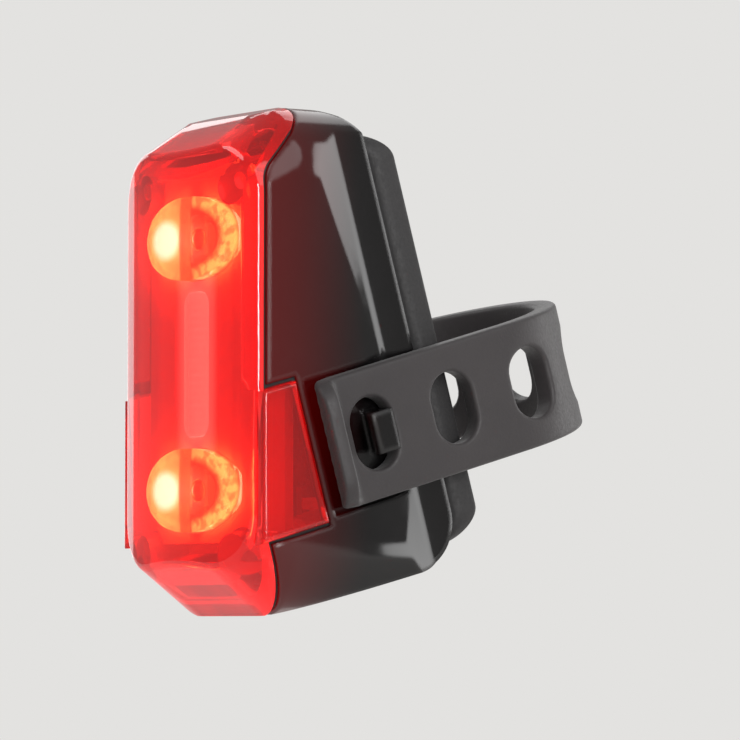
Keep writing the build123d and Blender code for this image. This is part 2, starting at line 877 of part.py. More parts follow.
def on_board_back(width, height, depth, place):
    """A block on the back of the board, centred at a place given as (x, z)."""
    side, level = place
    return block(side - width / 2, side + width / 2, board_back, board_back + depth,
                 level - height / 2, level + height / 2)


def driver_chip():
    chip = on_board_back(driver_width, driver_width, driver_height, driver_place)
    return chamfer(chip.faces().sort_by(Axis.Y)[-1].edges(), driver_chamfer)


def inductor():
    coil = on_board_back(inductor_width, inductor_width, inductor_height, inductor_place)
    return fillet(coil.edges().filter_by(Axis.Y), inductor_corner_radius)


def capacitors():
    rows = [
        on_board_back(capacitor_length, capacitor_width, capacitor_width,
                      (capacitor_side, capacitor_level + index * capacitor_pitch))
        for index in range(capacitor_count)
    ]
    return Part() + rows


def battery_plug():
    """The white plug that the battery's leads end in, seated on the board."""
    plug = on_board_back(plug_width, plug_height, plug_depth, (plug_side, plug_level))
    return chamfer(plug.edges().filter_by(Axis.Z).group_by(Axis.Y)[-1], plug_chamfer)


def power_switch():
    """A side-pressed switch on the back of the board."""
    side = -switch_face + switch_depth / 2
    body = on_board_back(switch_depth, switch_length, switch_height, (side, button_level))
    well_depth = plunger_sink + button_travel + seat_gap
    well = block(
        -switch_face - overrun, -switch_face + well_depth,
        switch_middle - plunger_height / 2 - screw_gap, switch_middle + plunger_height / 2 + screw_gap,
        button_level - plunger_width / 2 - screw_gap, button_level + plunger_width / 2 + screw_gap,
    )
    return body - well


def switch_plunger():
    inner = -switch_face + plunger_sink
    return block(
        inner - plunger_length, inner,
        switch_middle - plunger_height / 2, switch_middle + plunger_height / 2,
        button_level - plunger_width / 2, button_level + plunger_width / 2,
    )


def power_button():
    """A long rubber button with a sealing flange inside the wall and a stem over the switch."""
    flange_face = body_side - housing_wall - seat_gap
    flange_back = flange_face - button_flange_thickness
    cap = button_prism(0, body_side + button_proud, flange_back)
    cap = fillet(cap.faces().sort_by(Axis.X)[0].edges(), button_edge_radius)
    flange = button_prism(button_flange_margin, flange_face, flange_back)
    stem_end = switch_face - plunger_sink + plunger_length + screw_gap
    stem = rod((-flange_face, switch_middle, button_level), (1, 0, 0),
               button_stem_diameter / 2, flange_face - stem_end)
    return cap + flange + stem


def status_window():
    """The short light pipe that shows the charge."""
    length = body_side - board_width / 2 + status_lamp_width
    pipe = rod((-body_side, -button_reach, status_level), (1, 0, 0), status_diameter / 2, length)
    return chamfer(pipe.faces().sort_by(Axis.X)[0].edges(), screw_gap)


def status_lamp():
    place = (-status_lamp_side, status_level)
    return on_board_back(status_lamp_width, status_lamp_length, status_lamp_width, place)


# Battery


def battery_cell():
    """A soft flat cell with its folded tab on top."""
    cell = block(
        cell_low, cell_high, -cell_front, -cell_reach, cell_bottom, cell_top
    )
    cell = fillet(cell.edges().filter_by(Axis.Z), cell_corner_radius)
    tab = block(
        cell_low + cell_tab_inset, cell_high - cell_tab_inset,
        -cell_front + cell_tab_inset, -cell_reach - cell_tab_inset,
        cell_top, cell_top + cell_tab_height,
    )
    return leaned(cell + tab)


def battery_pad():
    inset = cell_corner_radius
    return leaned(
        block(
            cell_low + inset, cell_high - inset,
            -cell_reach, -floor_reach, cell_bottom + inset, cell_top - inset,
        )
    )


def battery_leads():
    """Two leads that rise from the cell's tab, turn over and come down into the plug."""
    plug_y = board_back + lead_setback
    leads = Part()
    for place in (-1, 1):
        step = place * lead_pitch / 2
        high = plug_top + lead_rise + step
        path = FilletPolyline(
            (plug_side - step, plug_y, plug_top),
            (plug_side - step, plug_y, high),
            (plug_side + lead_span + step, plug_y, high),
            (plug_side + lead_span + step, plug_y, -heel_drop / 2),
            radius=lead_bend_radius + step,
        )
        start = Plane(origin=path @ 0, z_dir=path % 0)
        leads += sweep(start * Circle(lead_diameter / 2), path=path)
    below_tab = leaned(
        block(-body_width, body_width, -far_reach, 0, -far_reach, cell_top + cell_tab_height)
    )
    return leads - below_tab


# Charging


def socket_outline(width, height, level):
    return Pos(0, -socket_reach, level) * SlotOverall(width, height)


def charging_socket():
    """An oval metal shell, closed at the back, with the contact tongue inside."""
    shell = extrude(socket_outline(socket_width, socket_height, socket_level), amount=socket_length)
    hollow = extrude(
        socket_outline(socket_width - 2 * socket_wall, socket_height - 2 * socket_wall, socket_level),
        amount=socket_length - 2 * socket_wall,
    )
    top = socket_level + socket_length - socket_wall
    tongue = block(
        -tongue_width / 2, tongue_width / 2,
        -socket_reach - tongue_thickness / 2, -socket_reach + tongue_thickness / 2,
        top - tongue_length, top,
    )
    return shell - hollow + tongue


def socket_board():
    back = -socket_reach - socket_height / 2
    return block(
        -socket_board_width / 2, socket_board_width / 2, back - socket_board_thickness, back,
        socket_level, socket_level + socket_board_height,
    )


def socket_pins():
    """The row of square pins between the two boards, in its plastic strip."""
    far = -socket_reach - socket_height / 2 - socket_board_thickness
    half = pin_width / 2
    strip_half = pin_count * pin_pitch / 2
    strip = block(-strip_half, strip_half, (board_back + far) / 2 - half, far,
                  pin_strip_level - pin_strip_height / 2, pin_strip_level + pin_strip_height / 2)
    for index in range(pin_count):
        side = (index - (pin_count - 1) / 2) * pin_pitch
        strip += block(side - half, side + half, board_back, far,
                       pin_strip_level - half, pin_strip_level + half)
    return strip


def port_cover():
    """The rubber cover of the charging port: a flush flap, a plug, a hinge bead and a lip to pull."""
    flap = flap_prism(0, -heel_drop, -heel_drop + flap_thickness)
    plug_end = -heel_drop + flap_thickness + flap_plug_rise
    plug = port_prism(flap_plug_width, flap_plug_height, -heel_drop + flap_thickness / 2, plug_end)
    bead = flap_hinge_rod(flap_hinge_radius, flap_hinge_length)
    pull = block(
        -flap_pull_width / 2, flap_pull_width / 2, -flap_lead, -flap_lead + flap_pull_drop,
        -heel_drop - flap_pull_drop, -heel_drop + flap_thickness / 2,
    )
    return flap + plug + bead + leaned(pull)


nodes = {
    "lens_cover": lens_cover,
    "case_seal": case_seal,
    "rear_housing": rear_housing,
    "case_screws": case_screws,
    "mount_pad": mount_pad,
    "strap_root": strap_root,
    "strap_wrap": strap_wrap,
    "strap_tail": strap_tail,
    "clamp_plate": clamp_plate,
    "clamp_screw": clamp_screw,
    "circuit_board": circuit_board,
    "board_screws": board_screws,
    "reflector_frame": reflector_frame,
    "optic_upper": lambda: optic(optic_levels["optic_upper"]),
    "optic_lower": lambda: optic(optic_levels["optic_lower"]),
    "lamp_upper": lambda: lamp(optic_levels["optic_upper"]),
    "lamp_lower": lambda: lamp(optic_levels["optic_lower"]),
    "light_guide": light_guide,
    "guide_lamps": guide_lamps,
    "driver_chip": driver_chip,
    "inductor": inductor,
    "capacitors": capacitors,
    "power_switch": power_switch,
    "switch_plunger": switch_plunger,
    "power_button": power_button,
    "status_window": status_window,
    "status_lamp": status_lamp,
    "battery_cell": battery_cell,
    "battery_pad": battery_pad,
    "battery_leads": battery_leads,
    "battery_plug": battery_plug,
    "charging_socket": charging_socket,
    "socket_board": socket_board,
    "socket_pins": socket_pins,
    "port_cover": port_cover,
}

os.makedirs("parts", exist_ok=True)
for name, make in nodes.items():
    shape = solids_of(make())
    export_step(shape, f"parts/{name}.step")
    print(name, len(shape.solids()), round(shape.volume, 2))
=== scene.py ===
# %% [markdown]
# # A bicycle's rear light in Blender
# The light straps to a seat post. Its red lens glows over two lamps, the housing behind it is
# glossy black plastic, and a rubber strap with oval holes closes round the post onto a hook. The
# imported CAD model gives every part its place. This lesson gives each one its finish, and rebuilds
# the rubber parts, because rubber bends and rounds off in a way that the plain solids don't.

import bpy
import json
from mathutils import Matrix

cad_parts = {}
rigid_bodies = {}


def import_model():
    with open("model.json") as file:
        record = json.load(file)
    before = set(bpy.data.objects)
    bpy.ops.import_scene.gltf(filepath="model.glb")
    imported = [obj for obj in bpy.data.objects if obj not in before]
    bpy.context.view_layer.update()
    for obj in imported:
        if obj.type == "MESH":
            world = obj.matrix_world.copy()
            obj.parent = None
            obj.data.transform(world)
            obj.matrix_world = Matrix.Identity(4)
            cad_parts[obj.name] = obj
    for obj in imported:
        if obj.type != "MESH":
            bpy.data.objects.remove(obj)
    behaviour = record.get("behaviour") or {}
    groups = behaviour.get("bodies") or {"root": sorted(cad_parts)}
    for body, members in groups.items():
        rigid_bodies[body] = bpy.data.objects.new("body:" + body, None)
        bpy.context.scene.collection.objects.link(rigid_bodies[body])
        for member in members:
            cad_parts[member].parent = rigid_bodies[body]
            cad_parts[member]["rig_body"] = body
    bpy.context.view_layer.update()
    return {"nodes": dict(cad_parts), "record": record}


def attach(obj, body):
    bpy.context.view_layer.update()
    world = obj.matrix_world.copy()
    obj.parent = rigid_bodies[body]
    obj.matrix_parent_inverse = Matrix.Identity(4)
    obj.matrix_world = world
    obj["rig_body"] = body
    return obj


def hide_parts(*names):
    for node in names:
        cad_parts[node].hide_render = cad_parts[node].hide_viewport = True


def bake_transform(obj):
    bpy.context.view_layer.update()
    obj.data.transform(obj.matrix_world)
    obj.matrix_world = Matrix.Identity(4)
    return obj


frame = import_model()

import json
import math

import bmesh
import bpy
import numpy as np
from mathutils import Vector, geometry

nodes = frame["nodes"]

# %% [markdown]
# ## Two frames
# The light stands upright, but the seat post leans by 16 degrees. What hugs the post is easier to
# draw as if the post stood straight, and then to lean. All drawing is in millimetres here, and one
# function turns a drawn point into the scene's metres.

# %% Points in the post's frame
MM = 0.001
LEAN = math.radians(16)
LEAN_COS, LEAN_SIN = math.cos(LEAN), math.sin(LEAN)


def leaned(x, y, z):
    """A point drawn round an upright post, in mm, carried to the leaning post, in metres."""
    return Vector((x, y * LEAN_COS - z * LEAN_SIN, y * LEAN_SIN + z * LEAN_COS)) * MM


print("post axis", [round(c, 4) for c in leaned(0, 0, 1) / MM])

# %% [markdown]
# ## Colour and nodes
# Colours are written as they look on a screen, in hex, and Blender works in linear light, so one
# function converts them. Another adds a node with its settings and links in a single call, which
# keeps each material short enough to read as a recipe.


# %% Colour and node helpers
def colour(hex_code):
    """An sRGB hex colour as linear RGBA."""
    channels = [int(hex_code[i:i + 2], 16) / 255 for i in (0, 2, 4)]
    linear = [c / 12.92 if c <= 0.04045 else ((c + 0.055) / 1.055) ** 2.4 for c in channels]
    return (*linear, 1.0)


def add(tree, kind, settings=None, **inputs):
    """Adds a node. Its own properties are settings, and _0 or From_Min names one of its inputs."""
    node = tree.nodes.new(kind)
    for key, value in (settings or {}).items():
        setattr(node, key, value)
    for key, value in inputs.items():
        socket = node.inputs[int(key[1:]) if key[0] == "_" else key.replace("_", " ")]
        if isinstance(value, bpy.types.NodeSocket):
            tree.links.new(value, socket)
        else:
            socket.default_value = value
    return node


def new_material(name):
    """An empty material and its tree, with the object's own coordinates in metres."""
    material = bpy.data.materials.new(name)
    material.use_nodes = True
    tree = material.node_tree
    tree.nodes.clear()
    place = add(tree, "ShaderNodeTexCoord").outputs["Object"]
    return material, tree, place


def calc(tree, operation, a, b=0.0, c=0.0):
    """One arithmetic node's result."""
    return add(tree, "ShaderNodeMath", {"operation": operation}, _0=a, _1=b, _2=c).outputs[0]


def ramp(tree, value, start, end, low, high):
    """Eases from low to high while the value goes from start to end."""
    return add(tree, "ShaderNodeMapRange", {"interpolation_type": "SMOOTHSTEP"}, Value=value,
               From_Min=start, From_Max=end, To_Min=low, To_Max=high).outputs[0]


def finish_material(material, tree, shader):
    """Ends a material's tree with a shader."""
    add(tree, "ShaderNodeOutputMaterial", Surface=shader.outputs[0])
    return material


print("middle grey in linear light", [round(c, 3) for c in colour("808080")])

# %% [markdown]
# ## Moulded and pressed finishes
# Most parts here came out of a mould or a press. Such a surface has one colour with a faint, large
# drift, a fine grain that the tool left, and a gloss that varies a little where it was handled.
# One recipe does them all. Each finish only says how strong and how large these are. The housing
# also asks for rounded-looking edges and for a painted red glow beside the lens, which stands in
# for the lamps' light spilling onto its wall.

# %% The recipe for moulded surfaces
NOISE_LOW, NOISE_HIGH = 0.3, 0.7  # Nearly all of a noise texture lies between these.
FINE_DETAIL, DRIFT_DETAIL = 2.0, 3.0
SMOOTHEST = 0.02
EDGE_SAMPLES = 6
PAINTED_SPILL_RED, SPILL_FRONT, SPILL_BACK = "ff0e0a", -36, -20


def moulded(name, tone, drift_tone, roughness, grain_mm=0.25, grain_height_mm=0.01, drift_mm=6.0,
            rough_range=0.08, ior=1.5, metallic=0.0, sheen=0.0, edge_mm=0.0, spill=0.0):
    """A colour that drifts towards another, with grain in its bump and its gloss."""
    material, tree, place = new_material(name)
    drift = add(tree, "ShaderNodeTexNoise", Vector=place, Scale=1 / (drift_mm * MM),
                Detail=DRIFT_DETAIL)
    grain = add(tree, "ShaderNodeTexNoise", Vector=place, Scale=1 / (grain_mm * MM),
                Detail=FINE_DETAIL)
    tint = add(tree, "ShaderNodeMix", {"data_type": "RGBA"}, _0=drift.outputs["Fac"],
               _6=colour(tone), _7=colour(drift_tone))
    gloss = add(tree, "ShaderNodeMapRange", Value=grain.outputs["Fac"], From_Min=NOISE_LOW,
                From_Max=NOISE_HIGH, To_Min=max(roughness - rough_range, SMOOTHEST),
                To_Max=roughness + rough_range)
    relief = add(tree, "ShaderNodeBump", Height=grain.outputs["Fac"], Strength=1.0,
                 Distance=grain_height_mm * MM)
    if edge_mm:
        edge = add(tree, "ShaderNodeBevel", {"samples": EDGE_SAMPLES}, Radius=edge_mm * MM)
        tree.links.new(edge.outputs["Normal"], relief.inputs["Normal"])
    shader = add(tree, "ShaderNodeBsdfPrincipled", Base_Color=tint.outputs[2],
                 Roughness=gloss.outputs["Result"], Normal=relief.outputs["Normal"], IOR=ior,
                 Metallic=metallic, Sheen_Weight=sheen, Emission_Color=colour(PAINTED_SPILL_RED),
                 Emission_Strength=0.0)
    # spill paints a red glow on the wall near the lens, fading towards the back: painted light from
    # the lamps
    if spill:
        y = add(tree, "ShaderNodeSeparateXYZ", Vector=place).outputs["Y"]
        tree.links.new(ramp(tree, y, SPILL_FRONT * MM, SPILL_BACK * MM, spill, 0.0),
                       shader.inputs["Emission Strength"])
    return finish_material(material, tree, shader)


print("red spill fades over", SPILL_BACK - SPILL_FRONT, "mm")

# %% [markdown]
# ## Plastics, rubbers and metals
# The real light mixes a polished shell, dull rubbers, small steel parts and a packed inside. What
# tells them apart is mostly gloss: a hard polished face mirrors the lamps as sharp lines, rubber
# spreads them into a soft sheen, and metal takes its colour into the reflection.

# %% Plastics, rubbers and metals
finishes = {
    # ABS from a polished mould: almost black, wet-looking, with the faintest ripple in its gloss,
    # and a painted red glow in the wall next to the lens, standing in for the lamps' spilled light.
    "black_housing": moulded("polished_black_abs", "0a0909", "100e0f", 0.1, grain_mm=2.2,
                             grain_height_mm=0.002, rough_range=0.03, ior=1.54, edge_mm=0.9,
                             spill=0.09),
    # Silicone rubber for the strap: dark grey, soft sheen, fine mould texture that dulls it.
    "strap_rubber": moulded("charcoal_silicone", "2f2c2d", "373334", 0.5, grain_mm=0.35,
                            grain_height_mm=0.02, ior=1.43, sheen=0.12),
    # A softer, blacker rubber where the light grips the post.
    "pad_rubber": moulded("black_epdm_pad", "1d1c1d", "262425", 0.62, grain_mm=0.4,
                          grain_height_mm=0.03, ior=1.5, sheen=0.1),
    "seal_rubber": moulded("black_silicone_seal", "161516", "1f1d1e", 0.5, ior=1.43),
    "button_rubber": moulded("graphite_button_silicone", "262425", "302d2e", 0.48, grain_mm=0.3,
                             grain_height_mm=0.015, ior=1.43, sheen=0.1),
    # Metals, pressed or drawn and then tumbled, blackened or plated: the grain is short and even.
    "screw_steel": moulded("tumbled_stainless_steel", "b9b8b6", "a5a4a2", 0.28, grain_mm=0.2,
                           grain_height_mm=0.006, drift_mm=2.0, metallic=1.0),
    "plate_steel": moulded("blackened_spring_steel", "3a3b3e", "2c2d30", 0.34, grain_mm=0.3,
                           grain_height_mm=0.008, drift_mm=3.0, metallic=1.0),
    "socket_steel": moulded("nickel_plated_steel", "c9c6bf", "b3b0a8", 0.22, grain_mm=0.5,
                            grain_height_mm=0.003, drift_mm=3.0, metallic=1.0),
    "pin_metal": moulded("gold_flashed_brass", "d9b45a", "c69c45", 0.25, grain_mm=0.4,
                         grain_height_mm=0.003, drift_mm=1.5, metallic=1.0),
    # Inside the case: epoxy, ferrite, ceramic, nylon, foil, foam and sleeving.
    "chip_plastic": moulded("black_epoxy_package", "1a1a1c", "222225", 0.55, grain_mm=0.12),
    "coil_ferrite": moulded("sintered_ferrite", "4a4746", "3b3938", 0.6, grain_mm=0.15,
                            grain_height_mm=0.02),
    "ceramic": moulded("fired_ceramic", "a98a63", "97784f", 0.45, grain_mm=0.15),
    "switch_plastic": moulded("black_nylon_switch", "202022", "2a2a2c", 0.45),
    "cell_foil": moulded("embossed_aluminium_pouch", "b4b6b8", "9fa1a4", 0.33, grain_mm=0.5,
                         grain_height_mm=0.03, metallic=1.0),
    "cell_foam": moulded("grey_pe_foam", "6d6d70", "7c7c80", 0.9, grain_mm=0.4,
                         grain_height_mm=0.08),
    "lead_sleeve": moulded("red_silicone_sleeve", "a02320", "8b1d1b", 0.4, grain_mm=0.3),
    "plug_plastic": moulded("ivory_nylon_plug", "e4dfce", "d6d0bb", 0.45, grain_mm=0.4),
}
print(len(finishes), "finishes from one recipe")

# %% [markdown]
# ## Clear and glowing finishes
# The lens is red polycarbonate: light goes through it, and red is what comes out. The lamps' light
# also scatters inside it, so the whole lens glows. That glow is painted on as a weak emission,
# drawn with ramps along the axes, with far less noise than real scattering would give. It glows on
# its front face, most round the two lamps and on its sloping bottom, and less on its sloping top,
# past its side edges and further back.

# %% Red lens
LAMPS = {"upper": 17.4, "lower": -12.6}  # Heights in mm.
LENS_GLOW, GLOW_DRIFT = 0.24, 0.15
HALO_GLOW, HALO_SQUEEZE, HALO_START, HALO_END = 0.08, 0.6, 2, 11


def red_lens():
    """Clear red polycarbonate, with the lamps' light scattered in it painted on as emission."""
    material, tree, place = new_material("clear_red_polycarbonate")
    x, y, z = add(tree, "ShaderNodeSeparateXYZ", Vector=place).outputs
    stretch = add(tree, "ShaderNodeMapping", Vector=place, Scale=(320, 60, 14))
    streaks = add(tree, "ShaderNodeTexNoise", Vector=stretch.outputs[0], Scale=1.0,
                  Detail=FINE_DETAIL)
    near_face = ramp(tree, y, -36 * MM, -26 * MM, 1.0, 0.55)
    top = ramp(tree, z, 22 * MM, 32 * MM, 1.0, 0.5)
    bottom = ramp(tree, z, -27 * MM, -19 * MM, 1.9, 1.0)
    sides = ramp(tree, calc(tree, "ABSOLUTE", x), 14.4 * MM, 15.2 * MM, 1.0, 0.4)
    for fade in (top, bottom, sides):
        near_face = calc(tree, "MULTIPLY", near_face, fade)
    streaked = ramp(tree, streaks.outputs["Fac"], NOISE_LOW, NOISE_HIGH,
                    LENS_GLOW * (1 - GLOW_DRIFT), LENS_GLOW * (1 + GLOW_DRIFT))
    strength = calc(tree, "MULTIPLY", near_face, streaked)
    across = calc(tree, "MULTIPLY", x, HALO_SQUEEZE)
    halo = 0.0
    for height in LAMPS.values():
        rise = calc(tree, "SUBTRACT", z, height * MM)
        spread = calc(tree, "SQRT", calc(tree, "ADD", calc(tree, "POWER", across, 2.0),
                                         calc(tree, "POWER", rise, 2.0)))
        halo = calc(tree, "ADD", halo,
                    ramp(tree, spread, HALO_START * MM, HALO_END * MM, 1.0, 0.0))
    halo = calc(tree, "MULTIPLY", halo, near_face)
    tint = add(tree, "ShaderNodeMix", {"data_type": "RGBA"}, _0=halo, _6=colour("d4060e"),
               _7=colour("ff2c10"))
    strength = calc(tree, "MULTIPLY_ADD", halo, HALO_GLOW, strength)
    ripple = add(tree, "ShaderNodeTexNoise", Vector=place, Scale=180.0, Detail=FINE_DETAIL)
    shine = ramp(tree, ripple.outputs["Fac"], NOISE_LOW, NOISE_HIGH, SMOOTHEST, 0.05)
    shader = add(tree, "ShaderNodeBsdfPrincipled", Base_Color=colour("e02a28"), Roughness=shine,
                 IOR=1.585, Specular_IOR_Level=0.3, Transmission_Weight=0.95,
                 Emission_Color=tint.outputs[2], Emission_Strength=strength)
    return finish_material(material, tree, shader)


finishes["red_lens"] = red_lens()
print("the lens glows round", LAMPS)

# %% [markdown]
# ## Clear plastics
# The charge light's window is frosted acrylic, and each lamp wears a silicone dome. One recipe
# makes both: what passes through, how frosted it is, and how strongly it shines by itself.

# %% Clear plastics
ACRYLIC_IOR = 1.49
CLEAR_GRAIN, CLEAR_DRIFT = 400.0, 0.03


def clear_plastic(name, tone, roughness, transmission, glow=None, strength=0.0):
    """A clear or frosted plastic, which may also shine by itself."""
    material, tree, place = new_material(name)
    ripple = add(tree, "ShaderNodeTexNoise", Vector=place, Scale=CLEAR_GRAIN, Detail=FINE_DETAIL)
    shine = add(tree, "ShaderNodeMapRange", Value=ripple.outputs["Fac"],
                To_Min=roughness - CLEAR_DRIFT, To_Max=roughness + CLEAR_DRIFT)
    shader = add(tree, "ShaderNodeBsdfPrincipled", Base_Color=colour(tone),
                 Roughness=shine.outputs["Result"], IOR=ACRYLIC_IOR,
                 Transmission_Weight=transmission, Emission_Color=colour(glow or tone),
                 Emission_Strength=strength)
    return finish_material(material, tree, shader)


finishes["window_plastic"] = clear_plastic("frosted_acrylic_window", "e6e4e0", 0.25, 0.6)
finishes["lamp_glow"] = clear_plastic("lit_silicone_dome", "fff2d0", 0.2, 0.0, "ffe2a0", 9.0)
print("clear plastics", ["window_plastic", "lamp_glow"])

# %% [markdown]
# ## Guide, frame and optics
# An upright acrylic guide glows evenly between the lamps, and its light on the white frame round
# it is painted on as a soft band of glow. The optics over the lamps carry a painted glow far
# brighter than a screen can show, and painted shade in the groove down their middle. Seen through
# the red lens, their core burns out to pale yellow, and their dimmer rim turns orange, as in a
# photograph.
# A red filter takes most green and blue away, so the core has to be rich in both.

# %% Light guide
PRISM_PITCH, GUIDE_DIM, GUIDE_BRIGHT = 0.9, 4.1, 5.0


def light_guide():
    """Frosted acrylic lit from within, as painted glow. Fine prisms across its back turn the light
    outwards, in painted bands.
    """
    material, tree, place = new_material("glowing_acrylic_guide")
    x, _, z = add(tree, "ShaderNodeSeparateXYZ", Vector=place).outputs
    prism = calc(tree, "SINE", calc(tree, "MULTIPLY", z, 2 * math.pi / (PRISM_PITCH * MM)))
    edge = ramp(tree, calc(tree, "ABSOLUTE", x), 1.4 * MM, 2.6 * MM, 1.0, 0.7)
    level = calc(tree, "MULTIPLY", edge, ramp(tree, prism, -1.0, 1.0, GUIDE_DIM, GUIDE_BRIGHT))
    cloud = add(tree, "ShaderNodeTexNoise", Vector=place, Scale=CLEAR_GRAIN, Detail=FINE_DETAIL)
    shader = add(tree, "ShaderNodeBsdfPrincipled", Base_Color=colour("f4d8d4"), IOR=ACRYLIC_IOR,
                 Roughness=ramp(tree, cloud.outputs["Fac"], NOISE_LOW, NOISE_HIGH, 0.17, 0.25),
                 Transmission_Weight=0.3, Emission_Color=colour("fff0e6"), Emission_Strength=level)
    return finish_material(material, tree, shader)


finishes["guide_plastic"] = light_guide()
print("guide prisms every", PRISM_PITCH, "mm")

# %% Frame round the optics
FRAME_PAINTED_GLOW, FRAME_DEEP, SPILL_FADE = 4.5, 0.2, 5


def lit_frame():
    """White PBT. The light guide's glow on it is a painted soft band of emission between the two
    lamps.
    """
    material, tree, place = new_material("white_pbt_frame")
    x, y, z = add(tree, "ShaderNodeSeparateXYZ", Vector=place).outputs
    grain = add(tree, "ShaderNodeTexNoise", Vector=place, Scale=2000.0, Detail=FINE_DETAIL)
    relief = add(tree, "ShaderNodeBump", Height=grain.outputs["Fac"], Strength=1.0,
                 Distance=0.01 * MM)
    middle, half = sum(LAMPS.values()) / 2, (LAMPS["upper"] - LAMPS["lower"]) / 2
    along = calc(tree, "ABSOLUTE", calc(tree, "SUBTRACT", z, middle * MM))
    # Painted glow: a band beside the guide, fading towards the lamps and further into the frame
    spill = calc(tree, "MULTIPLY",
                 ramp(tree, calc(tree, "ABSOLUTE", x), 2.4 * MM, 5.0 * MM, 1.0, 0.0),
                 ramp(tree, along, (half - SPILL_FADE) * MM, half * MM, 1.0, 0.0))
    level = calc(tree, "MULTIPLY", spill,
                 ramp(tree, y, -34.5 * MM, -33.5 * MM, FRAME_PAINTED_GLOW, FRAME_DEEP))
    shader = add(tree, "ShaderNodeBsdfPrincipled", Base_Color=colour("ddd8d2"), IOR=1.55,
                 Roughness=ramp(tree, grain.outputs["Fac"], NOISE_LOW, NOISE_HIGH, 0.36, 0.5),
                 Normal=relief.outputs["Normal"], Emission_Color=colour("ffe8dc"),
                 Emission_Strength=level)
    return finish_material(material, tree, shader)


finishes["frame_plastic"] = lit_frame()
print("light on the frame fades over", SPILL_FADE, "mm")

# %% Optics over the lamps
CORE_POWER, HALO_POWER, RIM_POWER, REST_POWER = 34.0, 20.0, 30.0, 0.5
GROOVE_SHARE, DEEP_SHARE = 0.12, 0.12


def lit_optic(name, centre_z):
    """Acrylic with its lamp's light painted on as emission: a hot left lobe, a groove darkened by
    painted shade, a bright rim.
    """
    material, tree, place = new_material(name)
    x, y, z = add(tree, "ShaderNodeSeparateXYZ", Vector=place).outputs
    z = calc(tree, "SUBTRACT", z, centre_z * MM)

    def spread(from_x, half_x, half_z):
        """Distance from a point on the optic, as a share of an oval's half sizes."""
        along = calc(tree, "DIVIDE", calc(tree, "SUBTRACT", x, from_x * MM), half_x * MM)
        up = calc(tree, "DIVIDE", z, half_z * MM)
        flat = add(tree, "ShaderNodeCombineXYZ", X=along, Y=up)
        return add(tree, "ShaderNodeVectorMath", {"operation": "LENGTH"},
                   _0=flat.outputs[0]).outputs["Value"]

    core = ramp(tree, spread(-4.4, 3.6, 2.6), 0.6, 1.15, 1.0, 0.0)
    halo = ramp(tree, spread(-4.2, 5.2, 4.6), 0.5, 1.3, 1.0, 0.0)
    rim = calc(tree, "MULTIPLY", ramp(tree, spread(0.0, 9.5, 5.0), 0.66, 0.86, 0.0, 1.0),
               ramp(tree, x, -2 * MM, 7 * MM, 0.35, 1.0))
    sparkle = add(tree, "ShaderNodeTexNoise", Vector=place, Scale=900.0, Detail=1.0)
    rim = calc(tree, "MULTIPLY", rim, ramp(tree, sparkle.outputs["Fac"], 0.35, 0.6, 0.45, 1.0))
    level = calc(tree, "MULTIPLY_ADD", core, CORE_POWER, REST_POWER)
    level = calc(tree, "MULTIPLY_ADD", halo, HALO_POWER, level)
    level = calc(tree, "MULTIPLY_ADD", rim, RIM_POWER, level)
    # Painted shade in the groove: its glow drops to a share, and the body colour turns dark brown
    # there
    groove = ramp(tree, calc(tree, "ABSOLUTE", x), 0.9 * MM, 1.5 * MM, GROOVE_SHARE, 1.0)
    front = ramp(tree, y, -35.2 * MM, -34.4 * MM, 1.0, DEEP_SHARE)
    level = calc(tree, "MULTIPLY", level, calc(tree, "MULTIPLY", groove, front))
    warmth = add(tree, "ShaderNodeMix", {"data_type": "RGBA"}, _0=core, _6=colour("fff07c"),
                 _7=colour("90ffdc"))
    body = add(tree, "ShaderNodeMix", {"data_type": "RGBA"}, _0=groove, _6=colour("2a1008"),
               _7=colour("c89a80"))
    shader = add(tree, "ShaderNodeBsdfPrincipled", Base_Color=body.outputs[2], Roughness=0.1,
                 IOR=ACRYLIC_IOR, Transmission_Weight=0.8, Emission_Color=warmth.outputs[2],
                 Emission_Strength=level)
    return finish_material(material, tree, shader)


optic_finishes = {"optic_" + which: lit_optic("lit_acrylic_optic_" + which, height)
                  for which, height in LAMPS.items()}
print("optics", sorted(optic_finishes))

# %% [markdown]
# ## Circuit boards
# The two boards are glass cloth in resin under a white solder mask. The cloth's weave shows
# through faintly, and a brick texture under a millimetre wide is close enough to it.


# %% Circuit boards
def board_laminate():
    """White solder mask over woven glass."""
    material, tree, place = new_material("white_solder_mask_board")
    weave = add(tree, "ShaderNodeTexBrick", {"offset": 0.5}, Vector=place, Scale=900.0,
                Color1=colour("dcdad4"), Color2=colour("cfccc4"), Mortar=colour("b9b5aa"),
                Mortar_Size=0.08)
    shader = add(tree, "ShaderNodeBsdfPrincipled", Base_Color=weave.outputs["Color"],
                 Roughness=0.3, IOR=1.55)
    return finish_material(material, tree, shader)


finishes["board_laminate"] = board_laminate()
print(sorted(finishes))

# %% [markdown]
# ## Dress the CAD parts
# Each hard part of the CAD keeps its exact shape and only takes its finish. Those with curved
# faces are shown as a merged copy, because the CAD mesh is loose triangles. Once corners are
# shared and flat faces are whole, Blender can shade across them, flat faces reflect as flat, and
# an edge stays crisp only where it turns sharply.

# %% A finish for every node
slot_of = {part["node"]: part["material_slot"] for part in frame["record"]["subparts"]}
for name, node in nodes.items():
    finish = optic_finishes.get(name) or finishes[slot_of[name]]
    node.data.materials.clear()
    node.data.materials.append(finish)
print(len(nodes), "nodes dressed")

# %% Smooth copies
SHELL_CORNER = 30


def body_of(node):
    """The body that a node rides on."""
    return nodes[node]["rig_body"]


